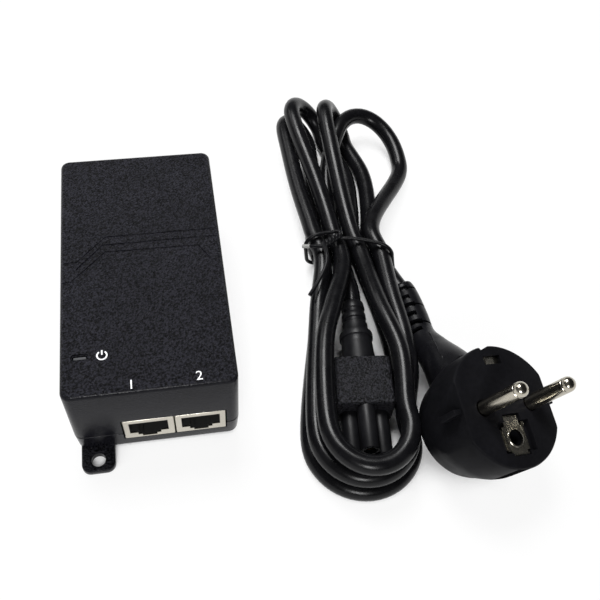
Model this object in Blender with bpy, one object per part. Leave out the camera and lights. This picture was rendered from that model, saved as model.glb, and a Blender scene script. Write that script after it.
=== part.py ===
"""Power-over-Ethernet injector: a small mains adapter with two network jacks and its tied mains lead.

Sizes are in millimetres and are turned into metres when a mesh is made. The case stands on z = 0,
centred on the origin, with its jacks facing -Y and its mains inlet facing +Y.
"""
import math
from collections import namedtuple

import bmesh
import bpy
import numpy as np
from mathutils import Matrix, Vector

MM = 0.001
GAP = 0.3

# Case
CASE_W = 52.4
CASE_L = 96.2
CASE_H = 36.1
WALL = 2.0
CORNER_R = 3.0
TOP_FILLET = 1.2
FOOT_FILLET = 2.4
DRAFT = 0.5
PARTING_Z = 10.0
LIP = 1.5
LIP_INSET = 0.9

# Mounting ears
EAR_W = 10.6
EAR_REACH = 8.2
EAR_T = 2.5
EAR_R = 2.8
EAR_X = -19.7
EAR_HOLE_D = 4.5
EAR_HOLE_Y = -52.4

# Styling grooves in the lid, as outlines seen from above
GROOVE_W = 0.5
GROOVE_DEPTH = 0.45
EDGE_X = CASE_W / 2 + 1
GROOVES = (
    ((-EDGE_X, 1.6), (-20.9, 1.6), (-11.4, 11.3), (EDGE_X, 11.3)),
    ((-20.9, -1.3), (-12.4, 8.0), (EDGE_X, 8.0)),
    ((-EDGE_X, -6.2), (-22.7, -6.2), (-11.6, 5.0), (18.6, 4.6), (21.6, -0.6), (EDGE_X, -0.9)),
)

# Power light
LIGHT_X = -20.2
LIGHT_Y = -34.4
LIGHT_L = 4.4
LIGHT_W = 1.5

# Circuit board
BOARD_W = 47.0
BOARD_L = 90.0
BOARD_T = 1.6
BOARD_TOP = 6.1

# Network jacks
JACK_W = 16.0
JACK_H = 11.1
JACK_DEPTH = 15.6
JACK_Z = 6.4
JACK_X = {"lan": -2.6, "poe": 13.8}
SHEET = 0.35
APERTURE = ((12.2, 6.4), (7.2, 1.3), (4.6, 1.1))
APERTURE_TOP = 1.7
CONTACTS = 8
CONTACT_PITCH = 1.02
CONTACT_W = 0.46

# Mains inlet
INLET_W = 22.0
INLET_H = 17.4
INLET_DEPTH = 16.0
INLET_Z = 6.5
INLET_AXIS_Z = 15.4
LOBE_R = 3.5
LOBES = ((-5.0, -1.8), (5.0, -1.8), (0.0, 3.0))
INLET_RECESS = 12.0
PIN_R = 1.18

# Case screws
SCREWS = ((-21.0, -42.8), (20.8, -27.4), (-21.0, 42.8), (21.0, 42.8))
BOSS_R = 3.6
BOSS_TOP = 8.2
POST_R = 3.0
POST_LOW = 8.5
HEAD_R = 2.5
HEAD_LOW = 2.7
HEAD_TOP = 4.7
WELL_TOP = 5.0
SHANK_R = 1.1
SHANK_TOP = 17.4
POINT_TOP = 18.4
PILOT_TOP = 20.0
REST_R = 1.8
RESTS = ((-14, -36), (14, -36), (-14, 36), (14, 36))

# Mains lead
CORD_D = 6.5
CORD_STEP = 2.0
CORD_POINT_STEP = 4.5
CORD_CLEAR = 0.5
SAME_STRAND = 14.0
SETTLE_PASSES = 300
SETTLE_SHARE = 0.35
SETTLE_EXTRA = 0.15
SETTLE_SPREAD = 3.5
SETTLE_REACH = 8
END_STILL = 8.0
END_EASE = 16.0
WAIST_Y = 18.0
WAIST_HALF = 6.0
WAIST_LEAN = -0.14
WAIST_SKEW = math.tan(math.radians(7))
WAIST_MID_X = 75.5
LOW_Z = 5.6
HIGH_Z = 12.7

# Where each strand passes the waist of the hank: across, up
SLOTS = {
    "low_1": (65.0, LOW_Z),
    "low_2": (72.0, LOW_Z),
    "low_3": (79.0, LOW_Z),
    "low_4": (86.6, LOW_Z),
    "high_1": (64.0, HIGH_Z),
    "high_2": (71.0, HIGH_Z),
    "high_3": (78.0, HIGH_Z),
    "high_4": (84.6, HIGH_Z),
}

# A loop of the hank: its middle, half its width and reach, its heading and sideways tilt in degrees,
# its rise, the angles it starts and ends at, which side it starts on, points on its way in and out,
# and the waist slot that it leaves by
Loop = namedtuple("Loop", "middle across along heading tilt rise sweep from_left way_in way_out slot")
UP, DOWN = 4, 176
LOOPS = (
    Loop((93.0, 66.0, 8.4), 14.2, 21.6, UP, 14, 0.12, (62, 104), True,
         ((72.2, 40, 5.2), (74.4, 58, 8.0)), (), "high_4"),
    Loop((65.4, -57.5, 10.4), 15.2, 16.0, DOWN, 0, 0.0, (98, 98), False,
         ((85.8, -8, 13.0), (86.2, -24, 13.0), (85.4, -38, 11.0)), ((58.6, -11, 11.0),), "high_1"),
    Loop((65.4, 79.0, 8.3), 7.4, 9.5, 0, 42, 0.0, (95, 95), True, (), (), "low_1"),
    Loop((65.6, -57.5, 3.3), 17.0, 17.6, DOWN, 0, 0.0, (98, 98), True,
         ((59.2, -11, 3.4),), ((83.6, -20, 3.4),), "low_3"),
    Loop((70.2, 81.5, 11.8), 11.0, 11.0, UP, 50, 0.0, (95, 90), False,
         ((82.0, 42, 3.8), (83.4, 60, 3.4)), (), "high_2"),
    Loop((66.4, -57.5, 17.5), 13.2, 15.2, DOWN, 0, 0.0, (98, 98), True,
         ((63.4, -11, 16.4), (58.0, -25, 17.4)), ((82.0, -34, 18.2), (79.4, -12, 16.6)), "high_3"),
    Loop((81.3, 79.0, 12.1), 10.0, 10.5, UP, 60, 0.0, (95, 90), True,
         (), ((89.8, 62, 3.4), (88.6, 42, 3.8)), "low_4"),
)
LOOP_POINTS = 9
CONNECTOR_RUN = ((72.4, -5.5, 6.9), (72.9, -0.6, 6.85), (72.8, 5.0, 6.2))
PLUG_RUN = ((90.2, 4.8, 5.6), (91.8, 0.4, 5.7))

# Wire tie: its tails' own points, its knot and the turn between them, which steps along the hank
TIE_D = 1.4
TIE_CLEAR = 0.75
TIE_STEP_Y = 3.2
TIE_POINTS = 72
TIE_KNOT_X = 71.4
TIE_TAIL_IN = ((57.2, 16.3, 15.6), (60.6, 14.2, 17.4), (65.6, 13.8, 18.0))
TIE_TAIL_OUT = ((67.0, 13.0, 20.6), (63.4, 4.2, 19.4), (59.6, -1.8, 17.8), (55.9, -6.1, 15.8))

# Connector on the lead, along its own Y from the nose's tip
CONNECTOR_TIP = (66.4, -64.4, 6.9)
CONNECTOR_HEADING = 5.8
CONNECTOR_W = 19.6
CONNECTOR_H = 13.4
NOSE_L = 15.4
BODY_END = 33.4
SLEEVE_R = 1.7
NOSE_R = 3.1

# Plug on the lead: its face's middle and the way that its pins and its cord side point
PLUG_FACE = (107.0, -63.6, 29.5)
PLUG_PINS_WAY = (0.355, -0.1754, 0.9183)
PLUG_CORD_WAY = (-0.0858, 0.972, 0.2188)
PLUG_R = 19.9
PLUG_FLAT = 17.5
PLUG_DEPTH = 26.0
PLUG_BACK_R = 13.8
PLUG_RIB = (2.6, 0.9, 9.0)
PLUG_PIN_R = 2.4
PLUG_PIN_L = 19.0
PLUG_PIN_SPACING = 19.0
PLUG_PIN_ROOT = 9.0
EARTH_HOLE_R = 2.5
EARTH_HOLE_OFFSET = 10.0
EARTH_HOLE_DEPTH = 14.0

# The plug's neck and boot, from inside its body to the cord, and their radii
NECK_ROOT = (0.0, 4.0, -14.5)
NECK_RUN = ((98.3, -41.5, 14.0), (96.1, -31.2, 9.9))
BOOT_RUN = ((93.9, -23.0, 7.0), (93.7, -14.0, 6.4), (93.2, -5.5, 6.0))
NECK_ROOT_R = 11.0
NECK_END_R = 5.6
BOOT_END_R = 4.4
BOOT_L = 24
BOOT_MOUTH = 2.6
RIB_PITCH = 4
RIB_DEPTH = 1.0

# Earth clips: half their width, sheet, depth under the face, and how their side legs lie
CLIP_HALF = 3.1
CLIP_SHEET = 0.6
CLIP_DEPTH = 1.0
CLIP_LEG_Y = 18.2
CLIP_DROP = 12.0
CLIP_WINDOW = (13.6, 16.4)
SOCKET_WINDOW = (2.6, 15.6)
SOCKET_WIDE = (4.3, 6.3, 13.9)
SOCKET_ROOM = (6.2, 5.0, 14.6)
NOTCH = ((-3.5, 22.0), (-3.3, 18.5), (1.0, 20.0), (1.0, 22.0))

CIRCLE = 20
FINE_CIRCLE = 28
CORNER_STEPS = 4


def clear_scene():
    """Remove every object of the file that this starts in."""
    for item in list(bpy.data.objects):
        bpy.data.objects.remove(item, do_unlink=True)


def finish(name, colour, roughness, metallic=0.0):
    """A plain material with one colour."""
    mat = bpy.data.materials.new(name)
    mat.use_nodes = True
    shader = mat.node_tree.nodes["Principled BSDF"]
    shader.inputs["Base Color"].default_value = (*colour, 1.0)
    shader.inputs["Roughness"].default_value = roughness
    shader.inputs["Metallic"].default_value = metallic
    mat.diffuse_color = (*colour, 1.0)
    return mat


def add_object(name, bm, parent=None):
    """Turn a bmesh in millimetres into an object in metres."""
    bmesh.ops.recalc_face_normals(bm, faces=bm.faces)
    bmesh.ops.scale(bm, vec=(MM, MM, MM), verts=bm.verts)
    mesh = bpy.data.meshes.new(name)
    bm.to_mesh(mesh)
    bm.free()
    item = bpy.data.objects.new(name, mesh)
    bpy.context.scene.collection.objects.link(item)
    item.parent = parent
    return item


def piece(name, bm, look, parent=None):
    """A visible sub-part with its own copy of a finish."""
    item = add_object(name, bm, parent)
    item.data.materials.append(finish(name, *look))
    return item


def combine(item, bm, operation):
    """Cut a shape out of a piece, or join it on, with a hidden helper."""
    helper = add_object(item.name + "_" + operation.lower(), bm, item.parent)
    helper.hide_render = True
    helper.display_type = "WIRE"
    step = item.modifiers.new(operation.lower(), "BOOLEAN")
    step.operation = operation
    step.solver = "EXACT"
    step.object = helper


def cut(item, *shapes):
    """Cut shapes out of a piece."""
    for shape in shapes:
        combine(item, shape, "DIFFERENCE")


def join(item, *shapes):
    """Join shapes onto a piece."""
    for shape in shapes:
        combine(item, shape, "UNION")


def loft(rings):
    """A closed body through rings of equally many points, capped at both ends."""
    bm = bmesh.new()
    loops = [[bm.verts.new(p) for p in ring] for ring in rings]
    for lower, upper in zip(loops, loops[1:]):
        count = len(lower)
        for i in range(count):
            j = (i + 1) % count
            bm.faces.new((lower[i], lower[j], upper[j], upper[i]))
    bm.faces.new(loops[0][::-1])
    bm.faces.new(loops[-1])
    return bm


def rounded_ring(width, length, radius, z, middle=(0.0, 0.0), steps=CORNER_STEPS):
    """The points of a rounded rectangle at one height."""
    points = []
    for quarter, (sx, sy) in enumerate(((1, 1), (-1, 1), (-1, -1), (1, -1))):
        cx = middle[0] + sx * (width / 2 - radius)
        cy = middle[1] + sy * (length / 2 - radius)
        for i in range(steps + 1):
            angle = math.pi / 2 * (quarter + i / steps)
            points.append((cx + radius * math.cos(angle), cy + radius * math.sin(angle), z))
    return points


def case_ring(inset, z):
    """The case's outline at one height, drawn in by an inset."""
    radius = max(CORNER_R - inset, 0.6)
    return rounded_ring(CASE_W - 2 * inset, CASE_L - 2 * inset, radius, z)


def rounded_block(width, length, z0, z1, radius, middle=(0.0, 0.0), edge=0.0):
    """An upright block with rounded corners and, if asked for, a chamfered top edge."""
    rings = [rounded_ring(width, length, radius, z0, middle)]
    rings.append(rounded_ring(width, length, radius, z1 - edge, middle))
    if edge:
        inner = max(radius - edge, 0.05)
        rings.append(rounded_ring(width - 2 * edge, length - 2 * edge, inner, z1, middle))
    return loft(rings)


def block(low, high):
    """A plain box between two corners."""
    (x0, y0, z0), (x1, y1, z1) = low, high
    ring = ((x0, y0), (x1, y0), (x1, y1), (x0, y1))
    return loft([[(x, y, z) for x, y in ring] for z in (z0, z1)])


def turned(profile, middle=(0.0, 0.0), sides=CIRCLE):
    """A body turned about an upright axis, from radius and height pairs."""
    rings = []
    for radius, z in profile:
        ring = []
        for i in range(sides):
            angle = 2 * math.pi * i / sides
            ring.append((middle[0] + radius * math.cos(angle), middle[1] + radius * math.sin(angle), z))
        rings.append(ring)
    return loft(rings)


def turn_to_y(bm, middle_x=0.0, middle_z=0.0):
    """Lay an upright body along Y, then move its axis."""
    bmesh.ops.transform(bm, matrix=Matrix.Rotation(-math.pi / 2, 4, "X"), verts=bm.verts)
    bmesh.ops.translate(bm, vec=(middle_x, 0.0, middle_z), verts=bm.verts)
    return bm


def swept(points, radii, sides=16):
    """A round body along a path, with one radius at each point."""
    path = [Vector(p) for p in points]
    side = None
    rings = []
    for i, here in enumerate(path):
        ahead = path[min(i + 1, len(path) - 1)] - path[max(i - 1, 0)]
        ahead.normalize()
        if side is None:
            side = ahead.orthogonal()
        side = (side - ahead * side.dot(ahead)).normalized()
        lift = ahead.cross(side)
        ring = []
        for k in range(sides):
            angle = 2 * math.pi * k / sides
            ring.append(here + radii[i] * (math.cos(angle) * side + math.sin(angle) * lift))
        rings.append(ring)
    return loft(rings)


def strip_along(points, width, z0, z1):
    """An upright wall of one width along a path seen from above, with mitred corners."""
    path = [Vector(p) for p in points]
    left, right = [], []
    for i, here in enumerate(path):
        before = (here - path[i - 1]).normalized() if i else None
        after = (path[i + 1] - here).normalized() if i + 1 < len(path) else None
        before, after = before or after, after or before
        along = (before + after).normalized()
        across = Vector((-along.y, along.x)) * (width / 2 / along.dot(after))
        left.append(here + across)
        right.append(here - across)
    outline = right + left[::-1]
    return loft([[(p.x, p.y, z) for p in outline] for z in (z0, z1)])


def smooth_route(keys, step):
    """Points at even steps on a smooth curve through a route's own points."""
    ends = np.vstack([2 * keys[0] - keys[1], keys, 2 * keys[-1] - keys[-2]])
    fine = []
    for p0, p1, p2, p3 in zip(ends, ends[1:], ends[2:], ends[3:]):
        t0 = 0.0
        t1 = t0 + math.sqrt(np.linalg.norm(p1 - p0))
        t2 = t1 + math.sqrt(np.linalg.norm(p2 - p1))
        t3 = t2 + math.sqrt(np.linalg.norm(p3 - p2))
        for t in np.linspace(t1, t2, 24, endpoint=False):
            a = ((t1 - t) * p0 + (t - t0) * p1) / (t1 - t0)
            b = ((t2 - t) * p1 + (t - t1) * p2) / (t2 - t1)
            c = ((t3 - t) * p2 + (t - t2) * p3) / (t3 - t2)
            d = ((t2 - t) * a + (t - t0) * b) / (t2 - t0)
            e = ((t3 - t) * b + (t - t1) * c) / (t3 - t1)
            fine.append(((t2 - t) * d + (t - t1) * e) / (t2 - t1))
    fine.append(keys[-1])
    return even_steps(np.array(fine), step)


def even_steps(points, step):
    """The same path with its points at even steps."""
    lengths = np.linalg.norm(np.diff(points, axis=0), axis=1)
    run = np.concatenate([[0.0], np.cumsum(lengths)])
    marks = np.linspace(0.0, run[-1], int(round(run[-1] / step)) + 1)
    return np.stack([np.interp(marks, run, points[:, axis]) for axis in range(3)], axis=1)


def waist_point(slot, above):
    """Where a strand enters or leaves the waist of the hank."""
    x, z = SLOTS[slot]
    along = WAIST_HALF if above else -WAIST_HALF
    return (x + WAIST_LEAN * along, WAIST_Y + along - (x - WAIST_MID_X) * WAIST_SKEW, z)


def loop_points(loop):
    """One fold of the hank: part of an ellipse in a tilted plane."""
    heading, tilt = math.radians(loop.heading), math.radians(loop.tilt)
    forward = np.array([math.sin(heading), math.cos(heading), loop.rise])
    facing = math.copysign(1.0, math.cos(heading))
    right = np.array([abs(math.cos(heading)), -facing * math.sin(heading), 0.0]) * math.cos(tilt)
    right[2] = -math.sin(tilt)
    points = []
    for angle in np.radians(np.linspace(-loop.sweep[0], loop.sweep[1], LOOP_POINTS)):
        offset = loop.along * math.cos(angle) * forward + loop.across * math.sin(angle) * right
        points.append(np.array(loop.middle) + offset)
    return points if loop.from_left else points[::-1]


def cord_keys():
    """The lead's own points, from the connector through the loops to the plug."""
    keys = [*CONNECTOR_RUN, waist_point("low_2", True)]
    for loop in LOOPS:
        upper = math.cos(math.radians(loop.heading)) > 0
        keys += [*loop.way_in, *loop_points(loop), *loop.way_out, waist_point(loop.slot, upper)]
        if loop is not LOOPS[-1]:
            keys.append(waist_point(loop.slot, not upper))
    keys += PLUG_RUN
    return np.array(keys, dtype=float)


def strand_distances(points):
    """Distances between points that are on different strands."""
    index = np.arange(len(points))
    away = points[:, None] - points[None]
    distance = np.linalg.norm(away, axis=2)
    distance[np.abs(index[:, None] - index[None]) <= int(SAME_STRAND / CORD_STEP)] = np.inf
    return away, distance


def settle(points):
    """Push the strands of the hank apart, gently and evenly, until they lie clear of each other."""
    need = CORD_D + CORD_CLEAR
    spread = np.exp(-0.5 * (np.arange(-SETTLE_REACH, SETTLE_REACH + 1) / SETTLE_SPREAD) ** 2)
    spread /= spread.sum()
    index = np.arange(len(points))
    from_end = np.minimum(index, len(points) - 1 - index) * CORD_STEP
    free = np.clip((from_end - END_STILL) / END_EASE, 0, 1)[:, None]
    for _ in range(SETTLE_PASSES):
        away, distance = strand_distances(points)
        if distance.min() >= need:
            break
        short = np.clip(need + SETTLE_EXTRA - distance, 0, None)
        push = SETTLE_SHARE * (away * (short / np.maximum(distance, 0.1))[:, :, None]).sum(axis=1)
        push = np.stack([np.convolve(push[:, axis], spread, "same") for axis in range(3)], axis=1)
        points = points + push * free
        points[:, 2] = np.maximum(points[:, 2], CORD_D / 2 + 0.05)
    return points


def cord_route():
    """The lead's settled route, and a printed line with its length and least gap."""
    points = settle(smooth_route(cord_keys(), CORD_STEP))
    gap = strand_distances(points)[1].min() - CORD_D
    length = np.linalg.norm(np.diff(points, axis=0), axis=1).sum()
    print(f"mains lead: {length:.0f} mm, least gap to itself {gap:.2f} mm")
    return even_steps(points, CORD_POINT_STEP)


def tube(name, points, diameter, look):
    """A round cord as a bevelled curve with filled ends."""
    curve = bpy.data.curves.new(name, "CURVE")
    curve.dimensions = "3D"
    curve.bevel_depth = diameter / 2 * MM
    curve.bevel_resolution = 1
    curve.use_fill_caps = True
    spline = curve.splines.new("POLY")
    spline.points.add(len(points) - 1)
    for target, point in zip(spline.points, points):
        target.co = (*(c * MM for c in point), 1.0)
    item = bpy.data.objects.new(name, curve)
    bpy.context.scene.collection.objects.link(item)
    curve.materials.append(finish(name, *look))
    return item


BLACK_CASE = ((0.022, 0.022, 0.026), 0.55)
BLACK_MOULDED = ((0.012, 0.012, 0.013), 0.35)
BLACK_PLASTIC = ((0.015, 0.015, 0.016), 0.5)
NICKEL = ((0.72, 0.70, 0.64), 0.28, 1.0)
BRASS = ((0.78, 0.60, 0.28), 0.3, 1.0)
GOLD = ((0.95, 0.72, 0.30), 0.25, 1.0)
STEEL = ((0.55, 0.55, 0.56), 0.35, 1.0)
ALUMINIUM = ((0.75, 0.76, 0.78), 0.4, 1.0)
FERRITE = ((0.06, 0.06, 0.065), 0.6)
TAPE = ((0.65, 0.50, 0.10), 0.5)
LAMINATE = ((0.05, 0.20, 0.09), 0.5)
SLEEVE = ((0.03, 0.05, 0.12), 0.4)
EPOXY = ((0.02, 0.02, 0.022), 0.45)
AMBER_BOX = ((0.70, 0.55, 0.12), 0.5)
FROSTED = ((0.30, 0.32, 0.34), 0.3)
LED_GREEN = ((0.20, 0.55, 0.25), 0.3)


def ear_outline(turn, z):
    """One ear seen from above, at the front left or turned half round to the rear right."""
    front = -CASE_L / 2 - EAR_REACH
    root = -CASE_L / 2 + 6
    points = [(EAR_X + EAR_W / 2, root), (EAR_X - EAR_W / 2, root)]
    for side, start in ((-1, math.pi), (1, 1.5 * math.pi)):
        cx, cy = EAR_X + side * (EAR_W / 2 - EAR_R), front + EAR_R
        for i in range(CORNER_STEPS + 1):
            angle = start + math.pi / 2 * i / CORNER_STEPS
            points.append((cx + EAR_R * math.cos(angle), cy + EAR_R * math.sin(angle)))
    return [(turn * x, turn * y, z) for x, y in points]


def jack_span():
    """The left and right side of the opening that both jacks share."""
    return JACK_X["lan"] - JACK_W / 2 - 0.6, JACK_X["poe"] + JACK_W / 2 + 0.6


def wall_openings():
    """Cutters for the jack opening in front and the inlet opening at the rear."""
    left, right = jack_span()
    wall = CASE_L / 2
    front_low = (left, -wall - 5, JACK_Z - 0.4)
    front_high = (right, -wall + 5, JACK_Z + JACK_H + 0.5)
    side = INLET_W / 2 + GAP
    rear_low = (-side, wall - 5, INLET_Z - GAP)
    rear_high = (side, wall + 5, INLET_Z + INLET_H + GAP)
    return block(front_low, front_high), block(rear_low, rear_high)


def make_bottom_case():
    """The tray with its ears, board rests and screw bosses."""
    top = PARTING_Z - GAP / 2
    step_z = PARTING_Z - LIP - GAP
    slim = LIP_INSET - GAP / 2
    rings = [
        case_ring(DRAFT + FOOT_FILLET, 0.0),
        case_ring(DRAFT + FOOT_FILLET * 0.35, FOOT_FILLET * 0.3),
        case_ring(DRAFT, FOOT_FILLET),
        case_ring(0.0, top),
        case_ring(slim, top),
        case_ring(slim, step_z),
        case_ring(WALL, step_z),
        case_ring(WALL + DRAFT, WALL),
    ]
    tray = piece("bottom_case", loft(rings), BLACK_CASE)
    join(tray, *(loft([ear_outline(turn, 0.0), ear_outline(turn, EAR_T)]) for turn in (1, -1)))
    for x, y in SCREWS:
        join(tray, turned(((BOSS_R, WALL / 2), (BOSS_R, BOSS_TOP)), (x, y)))
    rest_top = BOARD_TOP - BOARD_T - GAP
    for place in RESTS:
        join(tray, turned(((REST_R, WALL / 2), (REST_R, rest_top)), place, 12))
    well, bore = HEAD_R + 0.4, SHANK_R + 0.5
    for place in SCREWS:
        cut(tray, turned(((well, -1.0), (well, WELL_TOP)), place))
        cut(tray, turned(((bore, WELL_TOP - 1), (bore, BOSS_TOP + 1)), place, 12))
    for turn in (1, -1):
        hole = (turn * EAR_X, turn * EAR_HOLE_Y)
        cut(tray, turned(((EAR_HOLE_D / 2, -1.0), (EAR_HOLE_D / 2, EAR_T + 1)), hole))
    cut(tray, *wall_openings())


def make_top_cover():
    """The lid and walls in one moulding, with grooves, light slot and screw posts."""
    base = PARTING_Z + GAP / 2
    tongue = PARTING_Z - LIP
    roof = CASE_H - WALL
    rings = [
        case_ring(TOP_FILLET, CASE_H),
        case_ring(TOP_FILLET * 0.3, CASE_H - TOP_FILLET * 0.3),
        case_ring(0.0, CASE_H - TOP_FILLET),
        case_ring(0.0, base),
        case_ring(LIP_INSET, base),
        case_ring(LIP_INSET, tongue),
        case_ring(WALL, tongue),
        case_ring(WALL, roof),
    ]
    cover = piece("top_cover", loft(rings), BLACK_CASE)
    pilot = SHANK_R + 0.2
    for place in SCREWS:
        join(cover, turned(((POST_R, POST_LOW), (POST_R, CASE_H - WALL / 2)), place))
    for place in SCREWS:
        cut(cover, turned(((pilot, POST_LOW - 1), (pilot, PILOT_TOP)), place, 12))
    slot_r = LIGHT_W / 2 - 0.02
    slot = rounded_block(LIGHT_L, LIGHT_W, roof - 2, CASE_H + 1, slot_r, (LIGHT_X, LIGHT_Y))
    cut(cover, slot, *wall_openings())
    for path in GROOVES:
        cut(cover, strip_along(path, GROOVE_W, CASE_H - GROOVE_DEPTH, CASE_H + 1))


def make_screws():
    """Four screws from below, one in each corner."""
    profile = (
        (HEAD_R, HEAD_LOW), (HEAD_R, HEAD_TOP), (SHANK_R, HEAD_TOP), (SHANK_R, SHANK_TOP), (0.3, POINT_TOP),
    )
    for number, place in enumerate(SCREWS, start=1):
        piece(f"case_screw_{number}", turned(profile, place, 14), STEEL)


def make_board():
    """The circuit board, cut back round the screw bosses."""
    half_w, half_l, low = BOARD_W / 2, BOARD_L / 2, BOARD_TOP - BOARD_T
    board = piece("circuit_board", block((-half_w, -half_l, low), (half_w, half_l, BOARD_TOP)), LAMINATE)
    for place in SCREWS:
        cut(board, turned(((BOSS_R + 0.6, low - 1), (BOSS_R + 0.6, BOARD_TOP + 1)), place))


def aperture_cutters(middle_x, front, depth, ease):
    """The stepped mouth of a jack, as one box for each of its widths."""
    top = JACK_Z + JACK_H - APERTURE_TOP
    shapes = []
    for width, height in APERTURE:
        half = width / 2 - ease
        overlap = 0.0 if not shapes else 0.5
        low = (middle_x - half, front - 1, top - height)
        high = (middle_x + half, front + depth, top + overlap)
        shapes.append(block(low, high))
        top -= height
    return shapes


def make_contacts(name, middle_x, front):
    """Eight sprung contacts on a carrier, which flex but do not turn or slide."""
    back, root, tip = front + 12.0, front + 10.6, front + 3.0
    half = CONTACT_PITCH * CONTACTS / 2
    high = JACK_Z + JACK_H - APERTURE_TOP - 2.8
    carrier = block((middle_x - half, root, high - 1.2), (middle_x + half, back, high + 0.3))
    comb = piece(name, carrier, GOLD)
    for i in range(CONTACTS):
        x = middle_x + (i - (CONTACTS - 1) / 2) * CONTACT_PITCH
        profile = ((root + 0.7, high - 0.7), (tip, high + 1.7), (tip, high + 2.2), (root + 0.7, high - 0.2))
        join(comb, loft([[(x + side * CONTACT_W / 2, y, z) for y, z in profile] for side in (-1, 1)]))


def make_jack(name, middle_x):
    """One shielded network jack: folded shield, moulded insert and contacts."""
    front = -CASE_L / 2 + 0.1
    left, right = middle_x - JACK_W / 2, middle_x + JACK_W / 2
    back, top = front + JACK_DEPTH, JACK_Z + JACK_H
    shield = piece(f"{name}_jack_shield", block((left, front, JACK_Z), (right, back, top)), NICKEL)
    inside = block((left + SHEET, front + SHEET, JACK_Z - 1), (right - SHEET, back + 1, top - SHEET))
    cut(shield, inside, *aperture_cutters(middle_x, front, 2.0, 0.0))
    near = front + SHEET + GAP
    side = SHEET + GAP
    insert = block((left + side, near, JACK_Z), (right - side, back, top - side))
    housing = piece(f"{name}_jack_insert", insert, BLACK_PLASTIC)
    cut(housing, *aperture_cutters(middle_x, near, 12.6, 0.15))
    make_contacts(f"{name}_jack_contacts", middle_x, near)


def make_inlet():
    """The three-pole mains inlet with its cloverleaf recess and pins."""
    rear = CASE_L / 2 - 0.2
    half = INLET_W / 2
    low, high = (-half, rear - INLET_DEPTH, INLET_Z), (half, rear, INLET_Z + INLET_H)
    body = piece("mains_inlet_body", block(low, high), BLACK_PLASTIC)
    floor = rear - INLET_RECESS
    for x, z in LOBES:
        cut(body, turn_to_y(turned(((LOBE_R, floor), (LOBE_R, rear + 2))), x, INLET_AXIS_Z + z))
    (left, low_z), (right, _), (_, high_z) = LOBES
    centre_low = (left, floor, INLET_AXIS_Z + low_z - LOBE_R)
    cut(body, block(centre_low, (right, rear + 2, INLET_AXIS_Z + high_z - 1.0)))
    for name, (x, z) in zip(("live", "neutral", "earth"), LOBES):
        height = INLET_AXIS_Z + z
        bore = ((PIN_R + GAP, rear - INLET_DEPTH - 1), (PIN_R + GAP, floor + 1))
        cut(body, turn_to_y(turned(bore, sides=12), x, height))
        pin = ((PIN_R, rear - INLET_DEPTH - 2), (PIN_R, rear - 3.4), (PIN_R * 0.5, rear - 2.6))
        piece(f"inlet_{name}_pin", turn_to_y(turned(pin, sides=12), x, height), NICKEL)


def make_light():
    """The power light's lens in the lid and the lamp under it on the board."""
    middle = (LIGHT_X, LIGHT_Y)
    length, width = LIGHT_L - 0.5, LIGHT_W - 0.5
    lens = rounded_block(length, width, 11.0, CASE_H - 0.1, width / 2 - 0.02, middle, 0.15)
    piece("power_light_pipe", lens, FROSTED)
    lamp = rounded_block(4.0, 2.0, BOARD_TOP + GAP, 10.6, 0.4, middle, 0.3)
    piece("power_lamp", lamp, LED_GREEN)


def standing_can(name, radius, height, middle):
    """An upright capacitor with a rolled rim and a vented top."""
    z0 = BOARD_TOP + GAP
    profile = ((radius - 0.4, z0), (radius, z0 + 0.5), (radius, z0 + 1.6), (radius - 0.4, z0 + 2.0),
               (radius, z0 + 2.4), (radius, z0 + height - 0.4), (radius - 0.5, z0 + height))
    piece(name, turned(profile, middle), SLEEVE)


def board_box(name, size, middle, look, radius=0.4):
    """A box-shaped component that stands on the board."""
    z0 = BOARD_TOP + GAP
    piece(name, rounded_block(size[0], size[1], z0, z0 + size[2], radius, middle, 0.3), look)


def make_transformer():
    """A flat ferrite core of two E halves, with a taped winding round its middle leg."""
    x, y, z0 = 2.4, 8.0, BOARD_TOP + GAP
    half_x, half_y, leg, window, yoke = 10.6, 10.5, 3.2, 7.8, 3.6
    low, high = z0 + 3.8, z0 + 14.2
    core_shape = block((x - half_x, y - half_y, low), (x + half_x, y + half_y, high))
    core = piece("transformer_core", core_shape, FERRITE)
    for side in (-1, 1):
        near, far = sorted((x + side * leg, x + side * window))
        cut(core, block((near, y - half_y + yoke, low - 1), (far, y + half_y - yoke, high + 1)))
    reach = half_y - yoke - GAP
    outer = rounded_block(2 * (window - GAP), 2 * reach, z0 + 0.4, z0 + 17.6, 1.5, (x, y))
    winding = piece("transformer_winding", outer, TAPE)
    room = leg + GAP
    cut(winding, block((x - room, y - reach - 1, low - GAP), (x + room, y + reach + 1, high + GAP)))


def make_choke():
    """A common-mode choke: a ring core that lies flat."""
    z0 = BOARD_TOP + GAP
    middle = (-17.2, 31.4)
    ring = ((5.4, z0), (5.6, z0 + 0.6), (5.6, z0 + 6.4), (5.4, z0 + 7))
    choke = piece("noise_filter_choke", turned(ring, middle), BRASS)
    cut(choke, turned(((2.4, z0 - 1), (2.4, z0 + 8)), middle, 12))


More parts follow.
